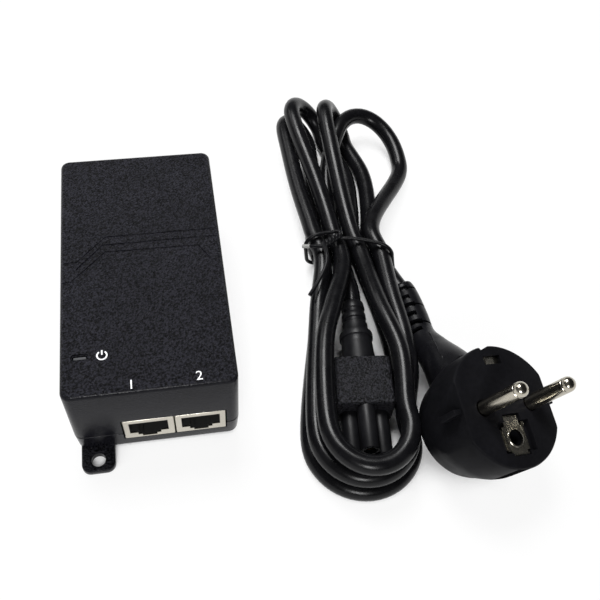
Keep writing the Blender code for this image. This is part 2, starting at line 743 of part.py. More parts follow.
def make_power_stage():
    """The components between the inlet and the jacks."""
    make_transformer()
    make_choke()
    standing_can("bulk_capacitor", 6.3, 20.0, (-15.2, 17.0))
    standing_can("output_capacitor_1", 4.0, 14.0, (-14.0, -2.0))
    standing_can("output_capacitor_2", 4.0, 14.0, (-14.0, -12.0))
    board_box("filter_capacitor", (13.0, 5.4, 11.0), (2.4, 25.2), AMBER_BOX)
    board_box("bridge_rectifier", (8.0, 4.0, 7.0), (17.0, 28.6), EPOXY)
    board_box("mains_fuse", (8.0, 4.4, 8.0), (17.0, 34.8), EPOXY, 1.6)
    board_box("data_transformer", (13.0, 13.0, 6.0), (3.0, -20.4), EPOXY)
    board_box("control_chip", (5.0, 6.2, 1.8), (14.0, -19.6), EPOXY)
    z0 = BOARD_TOP + GAP
    piece("heat_sink", block((20.0, -14.0, z0), (22.0, 24.0, z0 + 20)), ALUMINIUM)
    for name, y in (("switching_transistor", 14.0), ("output_rectifier", -6.0)):
        package = block((20.0 - GAP - 4.4, y - 5, z0 + 3), (20.0 - GAP, y + 5, z0 + 18))
        piece(name, package, EPOXY)


def waist_crossings(route):
    """Where the strands pass the middle of the waist, as across and up."""
    side = route[:, 1] - WAIST_Y + (route[:, 0] - WAIST_MID_X) * WAIST_SKEW
    places = []
    for i in np.nonzero(side[:-1] * side[1:] < 0)[0]:
        share = side[i] / (side[i] - side[i + 1])
        place = route[i] + share * (route[i + 1] - route[i])
        places.append((place[0], place[2]))
    return np.array(places)


def tie_route(route):
    """The tie's path: a tail, one turn drawn round the strands from its knot, and the other tail."""
    strands = waist_crossings(route)
    reach = CORD_D / 2 + TIE_D / 2 + TIE_CLEAR
    knot = (TIE_KNOT_X, strands[:, 1].max() + reach)
    turn = [knot]
    for i in range(1, TIE_POINTS):
        angle = math.pi / 2 - 2 * math.pi * i / TIE_POINTS
        way = np.array([math.cos(angle), math.sin(angle)])
        turn.append(tuple(strands[np.argmax(strands @ way)] + reach * way))
    turn.append(knot)
    flat = even_steps(np.array([(x, 0.0, z) for x, z in turn]), 2.0)
    keys = list(TIE_TAIL_IN)
    for share, (x, _, z) in zip(np.linspace(-0.5, 0.5, len(flat)), flat):
        keys.append((x, WAIST_Y - (x - WAIST_MID_X) * WAIST_SKEW + TIE_STEP_Y * share, z))
    keys += TIE_TAIL_OUT
    return smooth_route(np.array(keys, dtype=float), 2.0)


def make_cord_and_tie():
    """The lead tied in a hank, and the wire tie round its waist."""
    route = cord_route()
    tube("power_cord", route, CORD_D, BLACK_MOULDED)
    tube("cord_tie", tie_route(route), TIE_D, BLACK_PLASTIC)


def make_connector():
    """The three-pole connector at the lead's appliance end."""
    home = bpy.data.objects.new("connector_place", None)
    bpy.context.scene.collection.objects.link(home)
    home.location = Vector(CONNECTOR_TIP) * MM
    home.rotation_euler = (0.0, 0.0, -math.radians(CONNECTOR_HEADING))
    half_w, half_h = CONNECTOR_W / 2, CONNECTOR_H / 2
    sections = (
        (NOSE_L, half_w - 0.7, half_h - 0.7), (NOSE_L + 0.7, half_w, half_h), (BODY_END - 1, half_w, half_h),
        (BODY_END, half_w - 0.8, half_h - 0.8), (BODY_END + 0.6, 6.0, 5.4), (BODY_END + 6, 5.6, 5.0),
        (BODY_END + 9.6, 5.2, 4.7), (BODY_END + 10, 5.4, 5.2), (BODY_END + 12.2, 5.4, 5.2),
        (BODY_END + 12.6, 4.6, 4.6), (BODY_END + 16.4, 4.5, 4.5), (BODY_END + 16.6, 3.9, 3.9),
        (BODY_END + 18.2, 3.9, 3.9), (BODY_END + 18.4, 4.4, 4.4), (BODY_END + 20.6, 4.3, 4.3),
        (BODY_END + 20.8, 3.8, 3.8), (BODY_END + 22.2, 3.8, 3.8), (BODY_END + 22.4, 4.2, 4.2),
        (BODY_END + 25.4, 4.0, 4.0),
    )
    rings = []
    for y, w, h in sections:
        radius = min(w, h) - 0.05 if y > BODY_END + 12.5 else min(2.6, h - 0.05)
        ring = rounded_ring(2 * w, 2 * h, radius, 0.0, steps=3)
        rings.append([(x, y, z) for x, z, _ in ring])
    body = piece("connector_body", loft(rings), BLACK_MOULDED, home)
    for x, z in LOBES:
        nose = ((NOSE_R - 0.3, 0.0), (NOSE_R, 0.4), (NOSE_R, NOSE_L + 2))
        join(body, turn_to_y(turned(nose), x, z))
    (left, low_z), (right, _), (_, high_z) = LOBES
    join(body, block((left, 0.5, low_z - 2.0), (right, NOSE_L + 2, low_z + 2.0)),
         block((-2.4, 0.5, low_z), (2.4, NOSE_L + 2, high_z)))
    for name, (x, z) in zip(("live", "neutral", "earth"), LOBES):
        bore = ((SLEEVE_R + GAP, -1.0), (SLEEVE_R + GAP, NOSE_L - 1))
        cut(body, turn_to_y(turned(bore, sides=12), x, z))
        sleeve = ((SLEEVE_R, 1.2), (SLEEVE_R, NOSE_L - 1.6))
        contact = piece(f"connector_{name}_contact", turn_to_y(turned(sleeve, sides=12), x, z), BRASS, home)
        cut(contact, turn_to_y(turned(((PIN_R, 0.0), (PIN_R, NOSE_L - 3)), sides=12), x, z))


def plug_home():
    """An empty at the middle of the plug's face, with Z along the pins and Y to the cord."""
    home = bpy.data.objects.new("plug_place", None)
    bpy.context.scene.collection.objects.link(home)
    out = Vector(PLUG_PINS_WAY).normalized()
    up = Vector(PLUG_CORD_WAY)
    up = (up - out * up.dot(out)).normalized()
    side = up.cross(out)
    place = Matrix((side, up, out)).transposed().to_4x4()
    place.translation = Vector(PLUG_FACE) * MM
    home.matrix_world = place
    return home


def boot_path(home):
    """The middle line of the plug's neck and boot, in the plug's own millimetres."""
    inverse = home.matrix_world.inverted()
    lead_in = Vector(PLUG_RUN[-1])
    way = (lead_in - Vector(PLUG_RUN[-2])).normalized()
    places = [*NECK_RUN, *BOOT_RUN, tuple(lead_in + way * BOOT_MOUTH), tuple(lead_in + way * GAP)]
    keys = [NECK_ROOT] + [tuple(inverse @ (Vector(place) * MM) / MM) for place in places]
    return smooth_route(np.array(keys, dtype=float), 1.0)


def boot_radii(path):
    """The neck's taper, then ribs that step down to the cord."""
    count = len(path)
    ribs_from = count - BOOT_L
    radii = []
    for i in range(ribs_from):
        share = i / ribs_from
        radii.append(NECK_ROOT_R + (NECK_END_R - NECK_ROOT_R) * share * share * (3 - 2 * share))
    for i in range(BOOT_L):
        share = i / (BOOT_L - 1)
        grooved = i % RIB_PITCH in (1, 2) and i < BOOT_L - 1
        radii.append(NECK_END_R + (BOOT_END_R - NECK_END_R) * share - RIB_DEPTH * grooved)
    return radii


def make_plug():
    """The earthed side-entry plug: body, two pins and two earth clips."""
    home = plug_home()
    back = -PLUG_DEPTH
    profile = (
        (PLUG_BACK_R, back), (PLUG_BACK_R + 2.4, back + 1.4), (PLUG_R - 2.4, back + 6),
        (PLUG_R, back + 13), (PLUG_R, -1.0), (PLUG_R - 0.9, 0.0),
    )
    body = piece("plug_body", turned(profile, sides=FINE_CIRCLE), BLACK_MOULDED, home)
    path = boot_path(home)
    rib_out, rib_half, rib_drop = PLUG_RIB
    for side in (-1, 1):
        near, far = sorted((side * PLUG_FLAT, side * (PLUG_R + 2)))
        cut(body, block((near, -PLUG_R, back - 1), (far, PLUG_R, 1.0)))
    for side in (-1, 1):
        near, far = sorted((side * (PLUG_FLAT - 1), side * (PLUG_FLAT + rib_out)))
        join(body, block((near, -rib_half, -rib_drop), (far, rib_half, -CLIP_DEPTH)))
    join(body, swept(path, boot_radii(path)))
    for name, side in (("plug_pin_left", -1), ("plug_pin_right", 1)):
        place = (side * PLUG_PIN_SPACING / 2, 0.0)
        hole = ((PLUG_PIN_R + GAP, -PLUG_PIN_ROOT - GAP), (PLUG_PIN_R + GAP, 1.0))
        cut(body, turned(hole, place, 16))
        pin = (
            (PLUG_PIN_R, -PLUG_PIN_ROOT), (PLUG_PIN_R, PLUG_PIN_L - 1.8),
            (PLUG_PIN_R * 0.85, PLUG_PIN_L - 0.7), (PLUG_PIN_R * 0.45, PLUG_PIN_L),
        )
        piece(name, turned(pin, place, 16), NICKEL, home)
    make_earth_clips(home, body)


def span(half, y0, y1, z0, z1):
    """A box centred across the plug between two distances along its face."""
    near, far = sorted((y0, y1))
    return block((-half, near, z0), (half, far, z1))


def make_earth_clips(home, body):
    """The two sprung earth clips under the face, the lower one with the socket for an earth pin."""
    top, low = -CLIP_DEPTH, -CLIP_DEPTH - CLIP_SHEET
    leg_in = CLIP_LEG_Y - CLIP_SHEET
    room = CLIP_HALF + GAP
    for name, side, window in (("plug_earth_clip", 1, CLIP_WINDOW), ("plug_earth_socket", -1, SOCKET_WINDOW)):
        near, far = window
        sheet = span(CLIP_HALF, side * (near + GAP), side * CLIP_LEG_Y, low, top)
        plate = piece(name, sheet, NICKEL, home)
        join(plate, span(CLIP_HALF, side * leg_in, side * CLIP_LEG_Y, -CLIP_DROP, top))
        cut(body, span(room, side * near, side * far, low - GAP, 1.0))
        cut(body, span(room, side * (far - 1), side * (leg_in + GAP), low - GAP, top + GAP))
        cut(body, span(room, side * (leg_in - GAP), side * (PLUG_R + 2), -CLIP_DROP - GAP, top + GAP))
        if side > 0:
            cut(body, loft([[(x, y, z) for x, y in NOTCH] for z in (low, 1.0)]))
            continue
        half, first, last = SOCKET_WIDE
        join(plate, span(half, -first, -last, low, top))
        half, first, last = SOCKET_ROOM
        cut(body, span(half, -first, -last, low - GAP, 1.0))
        middle = (0.0, -EARTH_HOLE_OFFSET)
        cut(plate, turned(((EARTH_HOLE_R, low - 1), (EARTH_HOLE_R, 1.0)), middle, 16))
        well = EARTH_HOLE_R + GAP
        cut(body, turned(((well, -EARTH_HOLE_DEPTH), (well, 1.0)), middle, 16))


def main():
    """Make every piece of the injector and of its lead."""
    clear_scene()
    make_bottom_case()
    make_top_cover()
    make_screws()
    make_board()
    for name, x in JACK_X.items():
        make_jack(name, x)
    make_inlet()
    make_light()
    make_power_stage()
    make_cord_and_tie()
    make_connector()
    make_plug()
    bpy.context.view_layer.update()


main()
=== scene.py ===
"""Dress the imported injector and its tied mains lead, and set the camera and light of the photograph.

Shapes are modelled in millimetres in the CAD part's own frame. Each piece becomes metres when it is finished.
"""
import logging
import math
from collections.abc import Callable, Sequence
from dataclasses import dataclass
from enum import Enum

import bmesh
import bpy
import numpy as np
from mathutils import Matrix, Vector


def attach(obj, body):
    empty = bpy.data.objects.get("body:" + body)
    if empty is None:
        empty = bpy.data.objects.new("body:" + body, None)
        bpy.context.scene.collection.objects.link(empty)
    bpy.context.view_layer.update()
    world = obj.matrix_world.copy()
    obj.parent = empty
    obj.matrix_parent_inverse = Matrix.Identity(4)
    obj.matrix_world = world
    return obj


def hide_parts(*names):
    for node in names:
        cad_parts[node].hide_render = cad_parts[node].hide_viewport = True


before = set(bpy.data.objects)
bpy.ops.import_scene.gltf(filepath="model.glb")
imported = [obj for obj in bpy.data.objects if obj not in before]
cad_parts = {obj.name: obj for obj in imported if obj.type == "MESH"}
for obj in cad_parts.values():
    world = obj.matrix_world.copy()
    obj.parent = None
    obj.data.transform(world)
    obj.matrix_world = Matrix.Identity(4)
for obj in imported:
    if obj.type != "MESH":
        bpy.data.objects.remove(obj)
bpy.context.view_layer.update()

MM = 0.001
LOG = logging.getLogger("injector")

Pair = tuple[float, float]
Point = tuple[float, float, float]
Colour = tuple[float, float, float]
Piece = bpy.types.Object
Socket = bpy.types.NodeSocket

WHOLE: Pair = (0.0, 1.0)
LID_TOP = 36.1
LIGHT_PLACE: Pair = (-20.2, -34.4)
POLES: dict[str, Pair] = {"live": (-5.0, -1.8), "neutral": (5.0, -1.8), "earth": (0.0, 3.0)}


class Body(Enum):
    """The CAD bodies that pieces ride on."""

    INJECTOR = "injector"
    LEAD = "power_lead"


class Slot(Enum):
    """The record's material slots."""

    CASE = "case_black"
    MOULDED = "moulded_black"
    INSERT = "insert_black"
    NICKEL = "nickel"
    BRASS = "brass"
    GOLD = "gold"
    STEEL = "steel"
    ALUMINIUM = "aluminium"
    FERRITE = "ferrite"
    TAPE = "tape"
    LAMINATE = "laminate"
    SLEEVE = "sleeve"
    EPOXY = "epoxy"
    AMBER = "amber"
    LENS = "lens"
    LAMP = "lamp"
    NONE = ""


class Grain(Enum):
    """What the surface of a finish shows when seen close to."""

    SPARK = "spark-eroded mould texture"
    FLOWED = "slow waves of poured vinyl"
    BRUSHED = "fine drawn lines"
    WOUND = "turns of wire under tape"
    WOVEN = "glass cloth under lacquer"


class Cut(Enum):
    """How one shape acts on another."""

    AWAY = "DIFFERENCE"
    WELD = "UNION"


class Part(Enum):
    """The parts of a mesh that can be chosen."""

    EDGE = "edges"
    FACE = "faces"


class Tree:
    """A material's or a world's nodes, added and linked by name."""

    LAYERING = 0.55

    def __init__(self, tree: bpy.types.NodeTree) -> None:
        """Take over a node tree.

        Args:
            tree: the tree to add nodes to.
        """
        self.tree = tree
        self.place: Socket | None = None

    def add(self, kind: str, settings: dict | None = None, **inputs: object) -> bpy.types.Node:
        """Add a node and fill its sockets.

        Args:
            kind: the node's type name without its ShaderNode prefix.
            settings: properties of the node itself.
            inputs: socket names, with _ for a space, and their values or the sockets that feed them.

        Returns:
            The new node.
        """
        node = self.tree.nodes.new("ShaderNode" + kind)
        for key, value in (settings or {}).items():
            setattr(node, key, value)
        for key, value in inputs.items():
            socket = node.inputs[int(key[1:])] if key[1:].isdigit() else node.inputs[key.replace("_", " ")]
            if isinstance(value, Socket):
                self.tree.links.new(value, socket)
            else:
                socket.default_value = value
        return node

    def coordinates(self) -> Socket:
        """Give the object's own coordinates, made once.

        Returns:
            The coordinates' socket.
        """
        if self.place is None:
            self.place = self.add("TexCoord").outputs["Object"]
        return self.place

    def noise(self, size: float, detail: float = 3.0, stretch: Point = (1.0, 1.0, 1.0)) -> Socket:
        """Add noise with lumps of a given size.

        Args:
            size: the size of a lump in millimetres.
            detail: how many finer layers lie on it.
            stretch: how much longer lumps are along each axis.

        Returns:
            The noise's value socket.
        """
        share = tuple(1.0 / s for s in stretch)
        place = self.add("Mapping", Vector=self.coordinates(), Scale=share).outputs["Vector"]
        noise = self.add("TexNoise", Vector=place, Scale=1.0 / (size * MM), Detail=detail, Roughness=self.LAYERING)
        return noise.outputs["Fac"]

    def spread(self, value: Socket, low: float, high: float,
               span: Pair = (0.3, 0.7)) -> Socket:
        """Map a value from one span onto another.

        Args:
            value: the socket to map.
            low: what the span's start becomes.
            high: what the span's end becomes.
            span: the part of the value that is used.

        Returns:
            The mapped value.
        """
        node = self.add("MapRange", Value=value, From_Min=span[0], From_Max=span[1], To_Min=low, To_Max=high)
        return node.outputs["Result"]

    def maths(self, operation: str, first: object, second: object) -> Socket:
        """Combine two values, each a number or a socket, and give the result."""
        return self.add("Math", {"operation": operation}, _0=first, _1=second).outputs["Value"]


@dataclass(frozen=True)
class Finish:
    """One surface finish and how it is mixed from procedural patterns."""

    name: str
    slot: Slot
    colour: Colour
    roughness: float
    metallic: float = 0.0
    specular: float = 0.5
    grain: Grain = Grain.FLOWED
    grain_size: float = 1.2
    relief: float = 0.01
    mottle: float = 0.2
    speckle: float = 0.1
    unevenness: float = 0.06
    smooth_walls: float = 0.0
    lines: Point = (1.0, 1.0, 1.0)
    cloud_size: float = 14.0
    speck_span: Pair = (0.38, 0.62)
    handled_size: float = 5.0
    handled_layers: float = 5.0
    wall_span: Pair = (0.76, 0.94)
    wall_speck: float = 0.15
    wall_relief: float = 0.12
    cell_blend: float = 0.6
    pit_share: float = 0.6
    swell_share: float = 7.0
    band_share: float = 0.3
    band_wander: float = 0.6

    def material(self) -> bpy.types.Material:
        """Give the finish's material, made once.

        Returns:
            The material, shared by every piece with this finish.
        """
        ready = bpy.data.materials.get(self.name)
        if ready:
            return ready
        made = bpy.data.materials.new(self.name)
        made.use_nodes = True
        tree = Tree(made.node_tree)
        shader = made.node_tree.nodes["Principled BSDF"]
        shader.inputs["Metallic"].default_value = self.metallic
        shader.inputs["Specular IOR Level"].default_value = self.specular
        links = made.node_tree.links
        links.new(self._tint(tree), shader.inputs["Base Color"])
        links.new(self._gloss(tree), shader.inputs["Roughness"])
        links.new(self._surface(tree), shader.inputs["Normal"])
        return made

    def _tint(self, tree: Tree) -> Socket:
        """Vary the colour slowly over the piece, with the light and dark of its grain.

        Args:
            tree: the material's nodes.

        Returns:
            The colour.
        """
        cloud = tree.spread(tree.noise(self.cloud_size), 1.0 - self.mottle, 1.0 + self.mottle)
        bright = 1.0 + self.speckle
        speck = tree.spread(tree.noise(self.grain_size, 1.0), 1.0 / bright, bright, self.speck_span)
        if self.smooth_walls:
            away = tree.maths("SUBTRACT", speck, 1.0)
            calm = tree.spread(self._upright(tree), 1.0, self.wall_speck, WHOLE)
            speck = tree.maths("ADD", tree.maths("MULTIPLY", away, calm), 1.0)
        level = tree.maths("MULTIPLY", cloud, speck)
        shade = tree.add("VectorMath", {"operation": "SCALE"}, _0=self.colour, Scale=level)
        return shade.outputs["Vector"]

    def _gloss(self, tree: Tree) -> Socket:
        """Vary the roughness, with smoother walls where the finish has them.

        Args:
            tree: the material's nodes.

        Returns:
            The roughness.
        """
        handled = tree.spread(tree.noise(self.handled_size, self.handled_layers), self.roughness - self.unevenness,
                              self.roughness + self.unevenness)
        if not self.smooth_walls:
            return handled
        walls = tree.maths("MULTIPLY", self._upright(tree), -self.smooth_walls)
        return tree.maths("ADD", handled, walls)

    def _upright(self, tree: Tree) -> Socket:
        """Tell upright walls from faces that look up.

        Args:
            tree: the material's nodes.

        Returns:
            1 on upright walls and 0 on faces that look up.
        """
        normal = tree.add("TexCoord").outputs["Normal"]
        up = tree.add("SeparateXYZ", Vector=normal).outputs["Z"]
        return tree.spread(up, 1.0, 0.0, self.wall_span)

    def _surface(self, tree: Tree) -> Socket:
        """Turn the grain into relief on the surface.

        Args:
            tree: the material's nodes.

        Returns:
            The normal.
        """
        height = self._height(tree)
        strength = 1.0
        if self.smooth_walls:
            strength = tree.spread(self._upright(tree), 1.0, self.wall_relief, WHOLE)
        bump = tree.add("Bump", Height=height, Strength=strength, Distance=self.relief * MM)
        return bump.outputs["Normal"]

    def _height(self, tree: Tree) -> Socket:
        """Draw the height pattern of the finish's grain.

        Args:
            tree: the material's nodes.

        Returns:
            The height.
        """
        if self.grain is Grain.SPARK:
            cells = tree.add("TexVoronoi", {"feature": "SMOOTH_F1"}, Vector=tree.coordinates(),
                             Scale=1.0 / (self.grain_size * MM), Smoothness=self.cell_blend).outputs["Distance"]
            return tree.maths("ADD", cells, tree.noise(self.grain_size * self.pit_share, 4.0))
        if self.grain is Grain.BRUSHED:
            return tree.noise(self.grain_size, 2.0, self.lines)
        if self.grain in (Grain.WOUND, Grain.WOVEN):
            wave = {"wave_type": "BANDS", "bands_direction": "Z" if self.grain is Grain.WOUND else "DIAGONAL"}
            bands = tree.add("TexWave", wave, Vector=tree.coordinates(), Distortion=self.band_wander,
                             Scale=self.band_share / (self.grain_size * MM)).outputs["Fac"]
            return tree.maths("ADD", bands, tree.noise(self.grain_size, 2.0))
        swell = tree.noise(self.grain_size * self.swell_share, 1.0)
        return tree.maths("ADD", tree.noise(self.grain_size, 2.0), swell)


class Finishes:
    """The finishes of the injector and of its lead."""

    CASE = Finish("case_spark_black", Slot.CASE, (0.0066, 0.0066, 0.0088), 0.44, specular=0.11, grain=Grain.SPARK,
                  grain_size=0.66, relief=0.5, mottle=0.12, speckle=2.2, smooth_walls=0.27)
    CORD = Finish("cord_vinyl_black", Slot.MOULDED, (0.0042, 0.0042, 0.0050), 0.27, specular=0.19, grain_size=2.5,
                  relief=0.02)
    PLUG = Finish("plug_vinyl_black", Slot.MOULDED, (0.0058, 0.0058, 0.0070), 0.44, specular=0.04, grain_size=1.6,
                  relief=0.012)
    CONNECTOR = Finish("connector_textured_black", Slot.MOULDED, (0.0024, 0.0024, 0.0029), 0.38, specular=0.16,
                       grain=Grain.SPARK, grain_size=0.6, relief=0.36, mottle=0.15, speckle=9.0)
    NOSE = Finish("nose_satin_black", Slot.MOULDED, (0.0064, 0.0064, 0.0076), 0.4, specular=0.2, grain_size=1.2,
                  relief=0.02)
    BOOT = Finish("boot_vinyl_black", Slot.MOULDED, (0.0050, 0.0050, 0.0062), 0.3, specular=0.13, grain_size=1.6,
                  relief=0.012)
    TIE = Finish("tie_vinyl_black", Slot.INSERT, (0.0055, 0.0055, 0.0065), 0.34, specular=0.14, grain_size=0.8,
                 relief=0.02)
    TIP = Finish("tie_tip_grey", Slot.INSERT, (0.30, 0.30, 0.29), 0.5, specular=0.3, grain_size=0.6, relief=0.02)
    SHIELD = Finish("shield_nickel", Slot.NICKEL, (0.57, 0.54, 0.47), 0.34, 1.0, grain=Grain.BRUSHED,
                    grain_size=0.25, relief=0.006, mottle=0.08, lines=(9.0, 1.0, 1.0))
    PIN = Finish("pin_nickel", Slot.NICKEL, (0.47, 0.44, 0.37), 0.2, 1.0, grain=Grain.BRUSHED, grain_size=0.2,
                 relief=0.003, mottle=0.07)
    CLIP = Finish("clip_nickel", Slot.NICKEL, (0.42, 0.40, 0.345), 0.26, 1.0, grain=Grain.BRUSHED, grain_size=0.22,
                  relief=0.006, mottle=0.1, lines=(1.0, 6.0, 1.0))
    INSERT = Finish("insert_black", Slot.INSERT, (0.010, 0.010, 0.011), 0.5, grain_size=0.6, relief=0.01)
    GOLD = Finish("contact_gold", Slot.GOLD, (0.90, 0.66, 0.26), 0.25, 1.0, grain=Grain.BRUSHED, grain_size=0.15,
                  relief=0.003, mottle=0.06, lines=(1.0, 6.0, 1.0))
    BRASS = Finish("sleeve_brass", Slot.BRASS, (0.72, 0.54, 0.25), 0.32, 1.0, grain=Grain.BRUSHED, grain_size=0.2,
                   relief=0.005, mottle=0.1)
    COPPER = Finish("choke_copper", Slot.BRASS, (0.66, 0.34, 0.15), 0.35, 1.0, grain=Grain.WOUND, grain_size=0.6,
                    relief=0.2)
    STEEL = Finish("screw_zinc", Slot.STEEL, (0.56, 0.56, 0.57), 0.34, 1.0, grain=Grain.BRUSHED, grain_size=0.2,
                   relief=0.005)
    ALUMINIUM = Finish("sheet_aluminium", Slot.ALUMINIUM, (0.75, 0.76, 0.78), 0.4, 1.0, grain=Grain.BRUSHED,
                       grain_size=0.2, relief=0.006, lines=(1.0, 8.0, 1.0))
    FERRITE = Finish("core_ferrite", Slot.FERRITE, (0.05, 0.05, 0.055), 0.62, grain=Grain.SPARK, grain_size=0.3,
                     relief=0.04)
    TAPE = Finish("winding_tape", Slot.TAPE, (0.62, 0.46, 0.08), 0.42, grain=Grain.WOUND, grain_size=0.5,
                  relief=0.05)
    LAMINATE = Finish("board_lacquer", Slot.LAMINATE, (0.035, 0.17, 0.075), 0.36, grain=Grain.WOVEN,
                      grain_size=0.5, relief=0.01)
    SLEEVE = Finish("can_sleeve", Slot.SLEEVE, (0.03, 0.05, 0.12), 0.3, grain_size=2.0, relief=0.02)
    EPOXY = Finish("package_epoxy", Slot.EPOXY, (0.02, 0.02, 0.022), 0.5, grain=Grain.SPARK, grain_size=0.2,
                   relief=0.02)
    AMBER = Finish("film_amber", Slot.AMBER, (0.68, 0.50, 0.10), 0.4, grain_size=1.0, relief=0.02)
    LENS = Finish("light_lens", Slot.LENS, (0.055, 0.057, 0.062), 0.55, specular=0.2, grain_size=0.4, relief=0.01)
    LAMP = Finish("lamp_green", Slot.LAMP, (0.16, 0.5, 0.22), 0.25, grain_size=0.8, relief=0.005)
    INK = Finish("white_ink", Slot.NONE, (0.80, 0.81, 0.83), 0.5, grain=Grain.SPARK, grain_size=0.3, relief=0.012,
                 mottle=0.06)


class Bench:
    """Modelling steps with Blender's own operators, in millimetres."""

    STEEP = 0.98
    TOUCH = 0.002
    SHORT_OF_ROUND = 0.01

    @staticmethod
    def clear() -> None:
        """Deselect everything, so that the next operator reaches only what it should."""
        bpy.ops.object.select_all(action="DESELECT")

    @staticmethod
    def pick(item: Piece) -> None:
        """Select one object alone and make it active.

        Args:
            item: the object.
        """
        Bench.clear()
        item.select_set(True)
        bpy.context.view_layer.objects.active = item

    @staticmethod
    def fix(item: Piece) -> Piece:
        """Put an object's place, turn and size into its mesh.

        Args:
            item: the object.

        Returns:
            The same object, now at the origin.
        """
        Bench.pick(item)
        bpy.ops.object.transform_apply(location=True, rotation=True, scale=True)
        return item

    @staticmethod
    def put(item: Piece, place: Matrix) -> Piece:
        """Move an object, put the move into its mesh and give the object back."""
        item.matrix_world = place
        return Bench.fix(item)

    @staticmethod
    def link(name: str, data: bpy.types.ID) -> Piece:
        """Add an object to the scene.

        Args:
            name: its name.
            data: its curve, camera or lamp.

        Returns:
            The object.
        """
        item = bpy.data.objects.new(name, data)
        bpy.context.scene.collection.objects.link(item)
        return item

    @staticmethod
    def block(low: Point, high: Point) -> Piece:
        """Add a cube and size it to fill the space between two corners.

        Args:
            low: the lowest corner.
            high: the highest corner.

        Returns:
            The block.
        """
        Bench.clear()
        bpy.ops.mesh.primitive_cube_add(size=1.0, location=[(a + b) / 2 for a, b in zip(low, high)])
        item = bpy.context.object
        item.scale = [b - a for a, b in zip(low, high)]
        return Bench.fix(item)

    @staticmethod
    def slab(size: Pair, low: float, high: float, radius: float,
             middle: Pair = (0.0, 0.0), steps: int = 6) -> Piece:
        """Make an upright block with rounded corners.

        Args:
            size: its width and length.
            low: the height of its underside.
            high: the height of its top.
            radius: the radius of its corners.
            middle: where its middle is, seen from above.
            steps: how many faces round each corner.

        Returns:
            The block.
        """
        x, y = size[0] / 2, size[1] / 2
        item = Bench.block((middle[0] - x, middle[1] - y, low), (middle[0] + x, middle[1] + y, high))
        Bench.bevel(item, Bench.upright, radius, steps)
        return item

    @staticmethod
    def pill(size: Pair, low: float, high: float, middle: Pair) -> Piece:
        """Make an upright block between two heights, with its two ends rounded."""
        return Bench.slab(size, low, high, size[1] / 2 - Bench.SHORT_OF_ROUND, middle)

    @staticmethod
    def turned(profile: Sequence[Pair], sides: int = 64,
               middle: Pair = (0.0, 0.0)) -> Piece:
        """Draw a round body up from a disc by extruding and resizing its face.

        Args:
            profile: radius and height pairs, from one end to the other.
            sides: how many sides the disc has.
            middle: where its axis stands, seen from above.

        Returns:
            The closed body.
        """
        radius, height = profile[0]
        Bench.clear()
        bpy.ops.mesh.primitive_circle_add(vertices=sides, radius=radius, fill_type="NGON",
                                          location=(*middle, height))
        item = Bench.fix(bpy.context.object)
        bpy.ops.object.mode_set(mode="EDIT")
        bpy.ops.mesh.select_mode(type="FACE")
        bpy.ops.mesh.select_all(action="SELECT")
        for wide, high in profile[1:]:
            bpy.ops.mesh.extrude_region_move(TRANSFORM_OT_translate={"value": (0.0, 0.0, high - height)})
            share = wide / radius
            bpy.ops.transform.resize(value=(share, share, 1.0), center_override=(*middle, 0.0))
            radius, height = wide, high
        bpy.ops.mesh.select_all(action="SELECT")
        bpy.ops.mesh.normals_make_consistent(inside=False)
        bpy.ops.object.mode_set(mode="OBJECT")
        return item

    @staticmethod
    def rod(radius: float, low: float, high: float, sides: int, middle: Pair = (0.0, 0.0)) -> Piece:
        """Make a plain upright round bar between two heights."""
        return Bench.turned(((radius, low), (radius, high)), sides, middle)

    @staticmethod
    def lay_along_y(item: Piece, x: float = 0.0, z: float = 0.0) -> Piece:
        """Lay an upright body along Y with its axis at x and z, and give it back."""
        return Bench.put(item, Matrix.Translation((x, 0.0, z)) @ Matrix.Rotation(-math.pi / 2, 4, "X"))

    @staticmethod
    def wire(name: str, points: Sequence[Sequence[float]], radius: float, round_steps: int,
             radii: Sequence[float] | None = None, unit: float = 1.0) -> Piece:
        """Lay a round wire along points as a curve.

        Args:
            name: the curve's name.
            points: the points that its middle follows.
            radius: the wire's radius.
            round_steps: how finely it is rounded; 0 gives a square section.
            radii: a factor on the radius at each point.
            unit: what one millimetre becomes.

        Returns:
            The curve object, with closed ends.
        """
        curve = bpy.data.curves.new(name, "CURVE")
        curve.dimensions = "3D"
        curve.bevel_depth = radius * unit
        curve.bevel_resolution = round_steps
        curve.use_fill_caps = True
        spline = curve.splines.new("POLY")
        spline.points.add(len(points) - 1)
        for i, (target, point) in enumerate(zip(spline.points, points)):
            target.co = (*(float(c) * unit for c in point), 1.0)
            target.radius = 1.0 if radii is None else float(radii[i])
        return Bench.link(name, curve)

    @staticmethod
    def to_mesh(item: Piece) -> Piece:
        """Turn a curve or text into a mesh.

        Args:
            item: the curve or text.

        Returns:
            The mesh object.
        """
        Bench.pick(item)
        bpy.ops.object.convert(target="MESH")
        return bpy.context.object

    @staticmethod
    def choose(item: Piece, kind: Part, test: Callable[[object], bool]) -> None:
        """Go into edit mode with the chosen parts of a mesh selected.

        Args:
            item: the object to edit.
            kind: edges or faces.
            test: says of each part whether it is chosen.
        """
        Bench.pick(item)
        bpy.ops.object.mode_set(mode="EDIT")
        bpy.ops.mesh.select_mode(type=kind.name)
        bpy.ops.mesh.select_all(action="DESELECT")
        mesh = bmesh.from_edit_mesh(item.data)
        for part in getattr(mesh, kind.value):
            if test(part):
                part.select_set(True)
        bmesh.update_edit_mesh(item.data)

    @staticmethod
    def upright(edge: bmesh.types.BMEdge) -> bool:
        """Say whether an edge stands up."""
        along = edge.verts[1].co - edge.verts[0].co
        return abs(along.z) > Bench.STEEP * along.length

